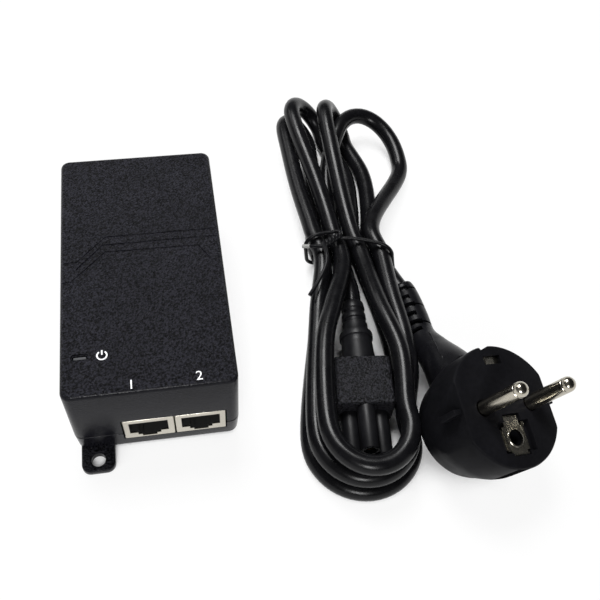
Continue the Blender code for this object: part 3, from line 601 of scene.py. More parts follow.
    @staticmethod
    def level(axis: int, place: float) -> Callable[[object], bool]:
        """Give a test for parts that lie in one plane.

        Args:
            axis: 0, 1 or 2 for the plane's axis.
            place: where the plane is on it.

        Returns:
            The test.
        """
        return lambda part: all(abs(v.co[axis] - place) < Bench.TOUCH for v in part.verts)

    @staticmethod
    def bevel(item: Piece, test: Callable[[object], bool], width: float, steps: int = 3) -> None:
        """Round the chosen edges of a mesh.

        Args:
            item: the object to edit.
            test: says which edges are rounded.
            width: how far the rounding reaches.
            steps: how many faces it has.
        """
        Bench.choose(item, Part.EDGE, test)
        bpy.ops.mesh.bevel(offset=width, segments=steps, profile=0.5, affect="EDGES", clamp_overlap=True)
        bpy.ops.object.mode_set(mode="OBJECT")

    @staticmethod
    def soften(item: Piece, width: float, angle: float = 50.0) -> None:
        """Round every sharp edge of a mesh.

        Args:
            item: the object to edit.
            width: how far the rounding reaches.
            angle: edges sharper than this are rounded, in degrees.
        """
        Bench.pick(item)
        step = item.modifiers.new("soften", "BEVEL")
        step.width, step.segments = width, 3
        step.limit_method, step.angle_limit = "ANGLE", math.radians(angle)
        bpy.ops.object.modifier_apply(modifier=step.name)

    @staticmethod
    def combine(item: Piece, tool: Piece, how: Cut) -> None:
        """Weld a shape to another or cut it away, and remove the tool.

        Args:
            item: the object that is kept.
            tool: the shape that is used up.
            how: weld or cut away.
        """
        Bench.pick(item)
        step = item.modifiers.new("combine", "BOOLEAN")
        step.operation = how.value
        step.solver = "EXACT"
        step.object = tool
        bpy.ops.object.modifier_apply(modifier=step.name)
        bpy.data.objects.remove(tool, do_unlink=True)

    @staticmethod
    def cut(item: Piece, *tools: Piece) -> None:
        """Cut shapes out of an object, one after another."""
        for tool in tools:
            Bench.combine(item, tool, Cut.AWAY)

    @staticmethod
    def weld(item: Piece, *tools: Piece) -> None:
        """Weld shapes onto an object, one after another."""
        for tool in tools:
            Bench.combine(item, tool, Cut.WELD)

    @staticmethod
    def finish(item: Piece, name: str, look: Finish, body: Body, stands_for: Sequence[str] = (),
               place: Matrix | None = None, angle: float = 32.0) -> Piece:
        """Bring a modelled piece to metres, and give it its place, finish and body.

        Args:
            item: the mesh object, in millimetres.
            name: the piece's name.
            look: its finish.
            body: the CAD body that it rides on.
            stands_for: the CAD nodes that it replaces.
            place: where it goes from its own frame, in millimetres.
            angle: edges sharper than this stay sharp, in degrees.

        Returns:
            The finished piece.
        """
        item.name = item.data.name = name
        Bench.put(item, Matrix.Scale(MM, 4) @ (place or Matrix.Identity(4)))
        bpy.ops.object.shade_smooth_by_angle(angle=math.radians(angle))
        item.data.materials.clear()
        item.data.materials.append(look.material())
        Bench.mount(item, look, body, stands_for)
        LOG.info("%s: %d faces, %s", name, len(item.data.polygons), look.name)
        return item

    @staticmethod
    def mount(item: Piece, look: Finish, body: Body, stands_for: Sequence[str] = ()) -> None:
        """Ride a finished piece on its body and hide what it stands for.

        Args:
            item: the piece.
            look: its finish; not used.
            body: the CAD body that it rides on.
            stands_for: the CAD nodes that it replaces.
        """
        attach(item, body.value)
        if stands_for:
            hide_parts(*stands_for)


class Route:
    """Smooth paths through given points, in millimetres."""

    BETWEEN = 24

    @staticmethod
    def smooth(keys: np.ndarray, step: float) -> np.ndarray:
        """Lay a smooth curve through points.

        Args:
            keys: the points, one to a row.
            step: the distance between the points given back.

        Returns:
            Points at even steps on the curve.
        """
        ends = np.vstack([2 * keys[0] - keys[1], keys, 2 * keys[-1] - keys[-2]])
        fine = []
        for p0, p1, p2, p3 in zip(ends, ends[1:], ends[2:], ends[3:]):
            t0 = 0.0
            t1 = t0 + math.sqrt(np.linalg.norm(p1 - p0))
            t2 = t1 + math.sqrt(np.linalg.norm(p2 - p1))
            t3 = t2 + math.sqrt(np.linalg.norm(p3 - p2))
            for t in np.linspace(t1, t2, Route.BETWEEN, endpoint=False):
                a = ((t1 - t) * p0 + (t - t0) * p1) / (t1 - t0)
                b = ((t2 - t) * p1 + (t - t1) * p2) / (t2 - t1)
                c = ((t3 - t) * p2 + (t - t2) * p3) / (t3 - t2)
                d = ((t2 - t) * a + (t - t0) * b) / (t2 - t0)
                e = ((t3 - t) * b + (t - t1) * c) / (t3 - t1)
                fine.append(((t2 - t) * d + (t - t1) * e) / (t2 - t1))
        fine.append(keys[-1])
        return Route.even(np.array(fine), step)

    @staticmethod
    def even(points: np.ndarray, step: float) -> np.ndarray:
        """Give the same path with its points at even steps.

        Args:
            points: the path.
            step: the distance between the points given back.

        Returns:
            The new points.
        """
        lengths = np.linalg.norm(np.diff(points, axis=0), axis=1)
        run = np.concatenate([[0.0], np.cumsum(lengths)])
        marks = np.linspace(0.0, run[-1], int(round(run[-1] / step)) + 1)
        return np.stack([np.interp(marks, run, points[:, axis]) for axis in range(3)], axis=1)

    @staticmethod
    def length(points: np.ndarray) -> float:
        """Measure a path."""
        return float(np.linalg.norm(np.diff(points, axis=0), axis=1).sum())


@dataclass(frozen=True)
class View:
    """The photograph's camera, in millimetres and pixels of a square picture."""

    place: Point = (12.659, -165.677, 246.483)
    look: Point = (0.14021919, 0.55972914, -0.81672632)
    up: Point = (0.09744716, 0.81306942, 0.57395311)
    focal_pixels: float = 806.05
    picture: float = 600.0
    sensor: float = 36.0
    clip: Pair = (0.01, 20.0)

    def build(self) -> None:
        """Add the camera and make it the scene's."""
        data = bpy.data.cameras.new("photo_camera")
        data.sensor_width = self.sensor
        data.lens = self.focal_pixels / self.picture * self.sensor
        data.clip_start, data.clip_end = self.clip
        camera = Bench.link(data.name, data)
        back = -Vector(self.look)
        right = Vector(self.up).cross(back)
        camera.matrix_world = Matrix((right, Vector(self.up), back)).transposed().to_4x4()
        camera.location = Vector(self.place) * MM
        bpy.context.scene.camera = camera


@dataclass(frozen=True)
class Lamp:
    """A soft square lamp, in metres and watts."""

    name: str
    place: Point
    aim: Point
    size: float
    power: float

    def build(self) -> None:
        """Hang the lamp and point it."""
        data = bpy.data.lights.new(self.name, "AREA")
        data.shape = "SQUARE"
        data.size = self.size
        data.energy = self.power
        lamp = Bench.link(self.name, data)
        lamp.location = self.place
        lamp.rotation_mode = "QUATERNION"
        lamp.rotation_quaternion = (Vector(self.aim) - Vector(self.place)).to_track_quat("-Z", "Y")


@dataclass(frozen=True)
class Studio:
    """A pale floor with painted shade in its nooks, a graded white surround and three soft lamps."""

    floor_colour: Colour = (0.93, 0.93, 0.93)
    floor_side: float = 8.0
    floor_drop: float = 0.00004
    floor_roughness: float = 0.7
    floor_specular: float = 0.1
    floor_cloud: float = 60.0
    floor_layers: float = 4.0
    floor_dip: float = 0.992
    floor_white: float = 0.9
    # painted shade on the floor: how far ambient occlusion looks, and the span of it over which the floor's white fades
    # in
    painted_shade_reach: float = 0.04
    painted_shade_span: Pair = (0.2, 0.44)
    horizon: float = 0.95
    horizon_span: Pair = (0.09, 0.2)
    ceiling: float = 0.09
    dark_side: Point = (0.80, 0.10, 0.59)
    dark_level: float = 0.25
    dark_span: Pair = (0.55, 0.9)
    dark_rise: Pair = (0.10, 0.24)
    lamps: tuple[Lamp, ...] = (
        Lamp("ceiling_lamp", (-0.05, 0.43, 0.95), (0.04, 0.0, 0.0), 0.42, 12.0),
        Lamp("window_lamp", (-0.43, 0.62, 0.57), (0.04, 0.0, 0.0), 0.30, 0.9),
        Lamp("front_lamp", (-0.10, -0.80, 0.60), (0.0, 0.0, 0.0), 0.28, 5.0),
    )

    def build(self) -> None:
        """Set the floor, the surround, the lamps and the plain view transform."""
        bpy.context.scene.view_settings.view_transform = "Standard"
        self._floor()
        self._surround()
        for lamp in self.lamps:
            lamp.build()

    def _floor(self) -> None:
        """Lay the floor just under the part, white to camera, mirror and glass rays, with painted shade where ambient
        occlusion is low.
        """
        Bench.clear()
        bpy.ops.mesh.primitive_plane_add(size=self.floor_side, location=(0.0, 0.0, -self.floor_drop))
        floor = Bench.fix(bpy.context.object)
        floor.name = "floor"
        made = bpy.data.materials.new("floor_paper")
        made.use_nodes = True
        tree = Tree(made.node_tree)
        shader = made.node_tree.nodes["Principled BSDF"]
        shader.inputs["Roughness"].default_value = self.floor_roughness
        shader.inputs["Specular IOR Level"].default_value = self.floor_specular
        level = tree.spread(tree.noise(self.floor_cloud, self.floor_layers), self.floor_dip, 1.0)
        tone = tree.add("VectorMath", {"operation": "SCALE"}, _0=self.floor_colour, Scale=level).outputs["Vector"]
        links = made.node_tree.links
        links.new(tone, shader.inputs["Base Color"])
        white = tree.add("Emission", Color=(1.0, 1.0, 1.0, 1.0), Strength=1.0).outputs["Emission"]
        # painted shade: where ambient occlusion is low, the white that camera, mirror and glass rays see is cut back,
        # so gaps between strands and nooks under parts read dark
        painted_shade_ao = tree.add("AmbientOcclusion", {"samples": 8}, Distance=self.painted_shade_reach).outputs["AO"]
        share = tree.spread(painted_shade_ao, 0.0, self.floor_white, self.painted_shade_span)
        seen = tree.maths("MULTIPLY", self._seen(tree), share)
        mixed = tree.add("MixShader", _0=seen, _1=shader.outputs["BSDF"], _2=white).outputs["Shader"]
        links.new(mixed, made.node_tree.nodes["Material Output"].inputs["Surface"])
        floor.data.materials.append(made)

    def _seen(self, tree: Tree) -> Socket:
        """Tell rays that show the floor from rays that light the part.

        Args:
            tree: the floor's nodes.

        Returns:
            1 for rays from the camera, in a mirror or through glass, and 0 for the rest.
        """
        rays = tree.add("LightPath").outputs
        mirrored = tree.maths("MAXIMUM", rays["Is Glossy Ray"], rays["Is Transmission Ray"])
        return tree.maths("MAXIMUM", rays["Is Camera Ray"], mirrored)

    def _surround(self) -> None:
        """Grade the world from a white horizon to a dimmer ceiling that is darkest to the right."""
        world = bpy.data.worlds.new("surround")
        bpy.context.scene.world = world
        world.use_nodes = True
        tree = Tree(world.node_tree)
        way = tree.add("TexCoord").outputs["Generated"]
        up = tree.add("SeparateXYZ", Vector=way).outputs["Z"]
        level = tree.spread(up, self.horizon, self.ceiling, self.horizon_span)
        towards = tree.add("VectorMath", {"operation": "DOT_PRODUCT"}, _0=way, _1=self.dark_side).outputs["Value"]
        dark = tree.spread(towards, 0.0, 1.0, self.dark_span)
        high = tree.spread(up, 0.0, 1.0, self.dark_rise)
        share = tree.spread(tree.maths("MULTIPLY", dark, high), 1.0, self.dark_level, WHOLE)
        shade = world.node_tree.nodes["Background"]
        shade.inputs["Color"].default_value = (1.0, 1.0, 1.0, 1.0)
        world.node_tree.links.new(tree.maths("MULTIPLY", level, share), shade.inputs["Strength"])


@dataclass(frozen=True)
class Fold:
    """One fold of the hank: a part of an ellipse in its own tilted plane."""

    middle: Point
    across: float
    along: float
    heading: float
    tilt: float
    rise: float
    sweep: Pair
    from_left: bool
    way_in: tuple[Point, ...]
    way_out: tuple[Point, ...]
    slot: str
    count: int = 9

    def points(self) -> list[np.ndarray]:
        """Bend the fold.

        Returns:
            Its points in the order that the cord runs.
        """
        heading, tilt = math.radians(self.heading), math.radians(self.tilt)
        forward = np.array([math.sin(heading), math.cos(heading), self.rise])
        facing = math.copysign(1.0, math.cos(heading))
        right = np.array([abs(math.cos(heading)), -facing * math.sin(heading), 0.0]) * math.cos(tilt)
        right[2] = -math.sin(tilt)
        points = []
        for angle in np.radians(np.linspace(-self.sweep[0], self.sweep[1], self.count)):
            offset = self.along * math.cos(angle) * forward + self.across * math.sin(angle) * right
            points.append(np.array(self.middle) + offset)
        return points if self.from_left else points[::-1]

    def is_upper(self) -> bool:
        """Say whether the fold is above the waist."""
        return math.cos(math.radians(self.heading)) > 0


UP, DOWN = 4.0, 176.0
LOW_Z, HIGH_Z = 5.6, 12.7


@dataclass
class Lead:
    """The mains lead, tied in a hank: its cord and the wire tie round its waist."""

    diameter: float = 6.5
    step: float = 2.0
    rounding: int = 7
    clear: float = 0.5
    same_strand: float = 14.0
    rounds: int = 300
    push: float = 0.35
    push_spare: float = 0.15
    push_reach: int = 8
    push_width: float = 3.5
    held_end: float = 8.0
    held_fade: float = 16.0
    floor_clear: float = 0.05
    waist_y: float = 18.0
    waist_half: float = 6.0
    waist_lean: float = -0.14
    waist_skew: float = math.tan(math.radians(7))
    waist_mid: float = 75.5
    connector_run: tuple[Point, ...] = ((72.4, -5.5, 6.9), (72.9, -0.6, 6.85), (72.8, 5.0, 6.2))
    plug_run: tuple[Point, ...] = ((90.2, 4.8, 5.6), (91.8, 0.4, 5.7))
    tie_diameter: float = 1.4
    tie_clear: float = 0.75
    tie_step: float = 3.2
    tie_bow: float = 4.2
    tie_bow_half: float = 17.0
    tie_points: int = 72
    tie_turn_step: float = 2.0
    tie_pitch: float = 0.3
    tie_rounding: int = 4
    tie_knot_x: float = 71.4
    tail_in: tuple[Point, ...] = ((57.2, 16.3, 15.6), (60.6, 14.6, 17.2))
    tail_out: tuple[Point, ...] = ((64.4, 8.6, 20.0), (63.4, 4.2, 19.4), (59.6, -1.8, 17.8), (55.9, -6.1, 15.8))
    twist: tuple[Point, Point] = ((64.8, 14.0, 18.7), (71.0, 18.0, 18.1))
    twist_turns: float = 2.25
    twist_radius: float = 0.76
    twist_points: int = 19
    tip_length: float = 3.4
    tip_proud: float = 0.06

    def slots(self) -> dict[str, Pair]:
        """Give where each strand passes the waist.

        Returns:
            The strands' names and places, across and up.
        """
        return {
            "low_1": (65.0, LOW_Z), "low_2": (72.0, LOW_Z), "low_3": (79.0, LOW_Z), "low_4": (86.6, LOW_Z),
            "high_1": (64.0, HIGH_Z), "high_2": (71.0, HIGH_Z), "high_3": (78.0, HIGH_Z), "high_4": (84.6, HIGH_Z),
        }

    def folds(self) -> tuple[Fold, ...]:
        """Give the hank's folds.

        Returns:
            The folds in the order that the cord runs through them.
        """
        return (
            Fold((93.0, 66.0, 8.4), 14.2, 21.6, UP, 14, 0.12, (62, 104), True,
                 ((72.2, 40, 5.2), (74.4, 58, 8.0)), (), "high_4"),
            Fold((65.4, -57.5, 10.4), 15.2, 16.0, DOWN, 0, 0.0, (98, 98), False,
                 ((85.8, -8, 13.0), (86.2, -24, 13.0), (85.4, -38, 11.0)), ((58.6, -11, 11.0),), "high_1"),
            Fold((65.4, 79.0, 8.3), 7.4, 9.5, 0, 42, 0.0, (95, 95), True, (), (), "low_1"),
            Fold((65.6, -57.5, 3.3), 17.0, 17.6, DOWN, 0, 0.0, (98, 98), True,
                 ((59.2, -11, 3.4),), ((83.6, -20, 3.4),), "low_3"),
            Fold((70.2, 81.5, 11.8), 11.0, 11.0, UP, 50, 0.0, (95, 90), False,
                 ((82.0, 42, 3.8), (83.4, 60, 3.4)), (), "high_2"),
            Fold((66.4, -57.5, 17.5), 13.2, 15.2, DOWN, 0, 0.0, (98, 98), True,
                 ((63.4, -11, 16.4), (58.0, -25, 17.4)), ((82.0, -34, 18.2), (79.4, -12, 16.6)), "high_3"),
            Fold((81.3, 79.0, 12.1), 10.0, 10.5, UP, 60, 0.0, (95, 90), True,
                 (), ((89.8, 62, 3.4), (88.6, 42, 3.8)), "low_4"),
        )

    def waist_point(self, slot: str, above: bool) -> Point:
        """Give where a strand enters or leaves the waist.

        Args:
            slot: the strand's place in the waist.
            above: whether this is the upper end of the waist.

        Returns:
            The point.
        """
        x, z = self.slots()[slot]
        along = self.waist_half if above else -self.waist_half
        return x + self.waist_lean * along, self.waist_y + along - (x - self.waist_mid) * self.waist_skew, z

    def keys(self) -> np.ndarray:
        """Lead the cord from the connector through the folds to the plug.

        Returns:
            The points that it passes, one to a row.
        """
        keys = [*self.connector_run, self.waist_point("low_2", True)]
        folds = self.folds()
        for fold in folds:
            upper = fold.is_upper()
            keys += [*fold.way_in, *fold.points(), *fold.way_out, self.waist_point(fold.slot, upper)]
            if fold is not folds[-1]:
                keys.append(self.waist_point(fold.slot, not upper))
        keys += self.plug_run
        return np.array(keys, dtype=float)

    def apart(self, points: np.ndarray) -> tuple[np.ndarray, np.ndarray]:
        """Measure how far points on different strands are from each other.

        Args:
            points: the route.

        Returns:
            The vectors between points and their lengths.
        """
        index = np.arange(len(points))
        away = points[:, None] - points[None]
        distance = np.linalg.norm(away, axis=2)
        distance[np.abs(index[:, None] - index[None]) <= int(self.same_strand / self.step)] = np.inf
        return away, distance

    def settle(self, points: np.ndarray) -> np.ndarray:
        """Push the strands apart, gently and evenly, until they lie clear of each other.

        Args:
            points: the route as drawn.

        Returns:
            The route as it lies.
        """
        need = self.diameter + self.clear
        spread = np.exp(-0.5 * (np.arange(-self.push_reach, self.push_reach + 1) / self.push_width) ** 2)
        spread /= spread.sum()
        index = np.arange(len(points))
        from_end = np.minimum(index, len(points) - 1 - index) * self.step
        free = np.clip((from_end - self.held_end) / self.held_fade, 0, 1)[:, None]
        for _ in range(self.rounds):
            away, distance = self.apart(points)
            if distance.min() >= need:
                break
            short = np.clip(need + self.push_spare - distance, 0, None)
            push = self.push * (away * (short / np.maximum(distance, 0.1))[:, :, None]).sum(axis=1)
            push = np.stack([np.convolve(push[:, axis], spread, "same") for axis in range(3)], axis=1)
            points = points + push * free
            points[:, 2] = np.maximum(points[:, 2], self.diameter / 2 + self.floor_clear)
        return points

    def build_cord(self) -> tuple[Piece, np.ndarray]:
        """Lay the cord along its settled route.

        Returns:
            The cord's curve and its route in millimetres.
        """
        route = Route.even(self.settle(Route.smooth(self.keys(), self.step)), self.step)
        cord = Bench.wire("lead_cord", route, self.diameter / 2, self.rounding, unit=MM)
        return cord, route

    def waist_crossings(self, route: np.ndarray) -> np.ndarray:
        """Find where the strands pass the middle of the waist.

        Args:
            route: the cord's path.

        Returns:
            The places, across and up, one to a row.
        """
        side = route[:, 1] - self.waist_y + (route[:, 0] - self.waist_mid) * self.waist_skew
        places = []
        for i in np.nonzero(side[:-1] * side[1:] < 0)[0]:
            share = side[i] / (side[i] - side[i + 1])
            place = route[i] + share * (route[i + 1] - route[i])
            places.append((place[0], place[2]))
        return np.array(places)

    def tie_route(self, route: np.ndarray) -> np.ndarray:
        """Give the tie's path: a tail, a turn drawn round the strands from its knot, and the other tail.

        Args:
            route: the cord's path.

        Returns:
            Points along the tie.
        """
        strands = self.waist_crossings(route)
        reach = self.diameter / 2 + self.tie_diameter / 2 + self.tie_clear
        knot = (self.tie_knot_x, strands[:, 1].max() + reach)
        turn = [knot]
        for i in range(1, self.tie_points):
            angle = math.pi / 2 - 2 * math.pi * i / self.tie_points
            way = np.array([math.cos(angle), math.sin(angle)])
            turn.append(tuple(strands[np.argmax(strands @ way)] + reach * way))
        turn.append(knot)
        flat = Route.even(np.array([(x, 0.0, z) for x, z in turn]), self.tie_turn_step)
        keys: list[Point] = [*self.tail_in, *self.twisted(0.0)]
        for share, (x, _, z) in zip(np.linspace(-0.5, 0.5, len(flat)), flat):
            bow = self.tie_bow * ((x - self.tie_knot_x) / self.tie_bow_half) ** 2
            keys.append((x, self.waist_y - (x - self.waist_mid) * self.waist_skew + self.tie_step * share - bow, z))
        keys += [*self.twisted(math.pi)[::-1], *self.tail_out]
        return Route.smooth(np.array(keys, dtype=float), self.tie_pitch)

    def twisted(self, phase: float) -> list[Point]:
        """Give one of the two ends that are twisted round each other, from the split to the knot.

        Args:
            phase: where the end starts round the twist's axis.

        Returns:
            Points along the end.
        """
        start, axis = Vector(self.twist[0]), Vector(self.twist[1]) - Vector(self.twist[0])
        side = axis.cross(Vector((0.0, 0.0, 1.0))).normalized()
        above = side.cross(axis).normalized()
        points = []
        for share in np.linspace(0.0, 1.0, self.twist_points):
            angle = phase + 2 * math.pi * self.twist_turns * share
            away = (side * math.cos(angle) + above * math.sin(angle)) * self.twist_radius
            points.append(tuple(start + axis * share + away))
        return points

    def build_tie(self, route: np.ndarray) -> tuple[Piece, Piece]:
        """Lay the tie round the waist, with a pale tip on its bare end.

        Args:
            route: the cord's path.

        Returns:
            The tie's curve and the tip's.
        """
        path = self.tie_route(route)
        tip = path[:int(self.tip_length / self.tie_pitch)]
        radius = self.tie_diameter / 2
        return (Bench.wire("hank_tie", path, radius, self.tie_rounding, unit=MM),
                Bench.wire("hank_tie_tip", tip, radius + self.tip_proud, self.tie_rounding, unit=MM))

    def dress(self, cord: Piece, tie: Piece, tip: Piece) -> None:
        """Give cord, tie and tip their finishes and their body.

        Args:
            cord: the cord's curve.
            tie: the tie's curve.
            tip: the tip's curve.
        """
        looks = ((cord, Finishes.CORD, ("power_cord",)), (tie, Finishes.TIE, ("cord_tie",)),
                 (tip, Finishes.TIP, ()))
        for item, look, nodes in looks:
            item.data.materials.append(look.material())
            Bench.mount(item, look, Body.LEAD, nodes)
            LOG.info("%s: %s", item.name, look.name)

    def declare(self, route: np.ndarray) -> None:
        """Measure the cord's length in metres; the result is not kept.

        Args:
            route: its path in millimetres.
        """
        Route.length(route) * MM


@dataclass
class Case:
    """The lid with its walls, and the tray with its ears."""

    width: float = 52.4
    length: float = 96.2
    height: float = LID_TOP
    wall: float = 2.0
    corner: float = 3.0
    least_corner: float = 0.8
    corner_steps: int = 8
    top_fillet: float = 1.6
    foot_fillet: float = 2.4
    draft: float = 0.5
    parting: float = 10.0
    gap: float = 0.3
    parting_edge: float = 0.15
    through: float = 5.0
    tongue: float = 1.5
    tongue_root: float = 4.0
    tongue_inset: float = 0.9
    groove_wire: float = 0.36
    groove_lift: float = 0.06
    opening: tuple[float, float, float, float] = (-10.9, 22.1, 6.0, 18.0)
    inlet_half: float = 11.3
    inlet_span: Pair = (6.2, 24.2)
    light: Pair = LIGHT_PLACE
    light_size: Pair = (4.4, 1.5)
    light_dish: Pair = (5.3, 2.4)
    dish_depth: float = 0.45
    ear_width: float = 10.6
    ear_reach: float = 8.2
    ear_depth: float = 2.5
    ear_radius: float = 2.8
    ear_root: float = 2.2
    ear_top_edge: float = 0.55
    ear_foot_edge: float = 0.25
    ear_x: float = -19.7
    ear_hole: float = 2.25
    ear_hole_y: float = -52.4
    ear_flare: float = 0.35
    screws: tuple[Pair, ...] = ((-21.0, -42.8), (20.8, -27.4), (-21.0, 42.8), (21.0, 42.8))
    boss: float = 3.6
    boss_span: Pair = (1.0, 8.1)
    well: float = 2.9
    well_span: Pair = (-1.0, 5.0)
    bore: float = 1.6
    bore_span: Pair = (4.0, 12.0)

    def grooves(self) -> tuple[tuple[Pair, ...], ...]:
        """Give the paths of the styling grooves, seen from above.

        Returns:
            The corners of each path.
        """
        edge = self.width / 2 + 1
        return (
            ((-edge, 1.6), (-20.9, 1.6), (-11.4, 11.3), (edge, 11.3)),
            ((-20.9, -1.3), (-12.4, 8.0), (edge, 8.0)),
            ((-edge, -6.2), (-22.7, -6.2), (-11.6, 5.0), (18.6, 4.6), (21.6, -0.6), (edge, -0.9)),
        )

    def shell(self, inset: float, low: float, high: float) -> Piece:
        """Make a block with the case's outline, drawn in by an inset."""
        size = (self.width - 2 * inset, self.length - 2 * inset)
        return Bench.slab(size, low, high, max(self.corner - inset, self.least_corner), steps=self.corner_steps)

    def wall_openings(self) -> tuple[Piece, Piece]:
        """Make the cutters of the openings in the walls.

        Returns:
            The jacks' cutter and the inlet's.
        """
        left, right, low, high = self.opening
        front, rear = -self.length / 2, self.length / 2
        return (Bench.block((left, front - self.through, low), (right, front + self.through, high)),
                Bench.block((-self.inlet_half, rear - self.through, self.inlet_span[0]),
                            (self.inlet_half, rear + self.through, self.inlet_span[1])))

    def build_lid(self) -> Piece:
        """Model the lid: a rounded block, hollowed, with tongue, openings, light slot and grooves.

        Returns:
            The lid.
        """
        foot, above = self.parting + self.gap / 2, self.height + 1
        lid = self.shell(0.0, foot, self.height)
        Bench.bevel(lid, Bench.level(2, self.height), self.top_fillet, 5)
        Bench.bevel(lid, Bench.level(2, foot), self.parting_edge, 1)
        Bench.weld(lid, self.shell(self.tongue_inset, self.parting - self.tongue, self.parting + self.tongue_root))
        Bench.cut(lid, self.shell(self.wall, 0.0, self.height - self.wall), *self.wall_openings())
        Bench.cut(lid, Bench.pill(self.light_dish, self.height - self.dish_depth, above, self.light),
                  Bench.pill(self.light_size, self.height - self.through, above, self.light))
        for path in self.grooves():
            points = [(x, y, self.height + self.groove_lift) for x, y in path]
            Bench.cut(lid, Bench.to_mesh(Bench.wire("groove", points, self.groove_wire, 3)))
        return lid

    def build_ear(self, turn: float) -> Piece:
        """Model one screw ear.

        Args:
            turn: 0 for the front left one, half a turn for the rear right one.

        Returns:
            The ear, reaching into the tray.
        """
        half = self.ear_width / 2
        front, root = -self.length / 2 - self.ear_reach, -self.length / 2 + self.ear_root
        ear = Bench.block((self.ear_x - half, front, 0.0), (self.ear_x + half, root, self.ear_depth))
        Bench.bevel(ear, lambda e: Bench.upright(e) and e.verts[0].co.y < front + 1, self.ear_radius, 7)
        Bench.bevel(ear, Bench.level(2, self.ear_depth), self.ear_top_edge, 3)
        Bench.bevel(ear, Bench.level(2, 0.0), self.ear_foot_edge, 2)
        hole = ((self.ear_hole + self.ear_flare, self.ear_depth + 0.2), (self.ear_hole, self.ear_depth - 0.3),
                (self.ear_hole, -1.0))
        Bench.cut(ear, Bench.turned(hole, 48, (self.ear_x, self.ear_hole_y)))
        return Bench.put(ear, Matrix.Rotation(turn, 4, "Z"))

    def build_tray(self) -> Piece:
        """Model the tray: a drafted, rounded block, hollowed, with ears and screw wells.

        Returns:
            The tray.
        """
        top = self.parting - self.gap / 2
        x, y = self.width / 2, self.length / 2
        tray = Bench.block((-x, -y, 0.0), (x, y, top))
        Bench.choose(tray, Part.FACE, Bench.level(2, 0.0))
        bpy.ops.transform.resize(value=(1 - self.draft / x, 1 - self.draft / y, 1.0), center_override=(0.0, 0.0, 0.0))
        bpy.ops.object.mode_set(mode="OBJECT")
        Bench.bevel(tray, Bench.upright, self.corner, self.corner_steps)
        Bench.bevel(tray, Bench.level(2, 0.0), self.foot_fillet, 6)
        Bench.bevel(tray, Bench.level(2, top), self.parting_edge, 1)
        Bench.weld(tray, self.build_ear(0.0), self.build_ear(math.pi))
        Bench.cut(tray, self.shell(self.wall + self.draft, self.wall, top + 2),
                  self.shell(self.tongue_inset - self.gap / 2, self.parting - self.tongue - self.gap, top + 2))
        for place in self.screws:
            Bench.weld(tray, Bench.rod(self.boss, *self.boss_span, 40, place))
        for place in self.screws:
            Bench.cut(tray, Bench.rod(self.well, *self.well_span, 40, place),
                      Bench.rod(self.bore, *self.bore_span, 24, place))
        Bench.cut(tray, *self.wall_openings())
        return tray

    def dress(self, lid: Piece, tray: Piece) -> None:
        """Give lid and tray the textured black finish."""
        Bench.finish(lid, "case_lid", Finishes.CASE, Body.INJECTOR, ("top_cover",))
        Bench.finish(tray, "case_tray", Finishes.CASE, Body.INJECTOR, ("bottom_case",))


@dataclass
class Jacks:
    """The two shielded network jacks."""

    middles: tuple[tuple[str, float], ...] = (("lan", -2.6), ("poe", 13.8))
    width: float = 16.0
    height: float = 11.1
    depth: float = 15.6
    low: float = 6.4
    front: float = -48.0
    sheet: float = 0.35
    fold: float = 0.4
    rail: float = 1.7
    step_lap: float = 0.5
    mouth: tuple[Pair, ...] = ((12.2, 6.4), (7.2, 1.3), (4.6, 1.1))

    def build(self, middle: float) -> Piece:
        """Model one folded shield with its stepped mouth.

        Args:
            middle: where its middle is across the front.

        Returns:
            The shield.
        """
        left, right = middle - self.width / 2, middle + self.width / 2
        back, top = self.front + self.depth, self.low + self.height
        shield = Bench.block((left, self.front, self.low), (right, back, top))
        at_back, at_foot = Bench.level(1, back), Bench.level(2, self.low)
        Bench.bevel(shield, lambda e: not at_back(e) and not at_foot(e), self.fold, 3)
        sheet = self.sheet
        Bench.cut(shield, Bench.block((left + sheet, self.front + sheet, self.low - 1),
                                      (right - sheet, back + 1, top - sheet)))
        upper, lap = top - self.rail, 0.0
        for wide, high in self.mouth:
            Bench.cut(shield, Bench.block((middle - wide / 2, self.front - 1, upper - high),
                                          (middle + wide / 2, self.front + 2, upper + lap)))
            upper, lap = upper - high, self.step_lap
        return shield

    def dress(self, name: str, shield: Piece) -> None:
        """Plate a shield."""
        Bench.finish(shield, f"{name}_shield", Finishes.SHIELD, Body.INJECTOR, (f"{name}_jack_shield",))


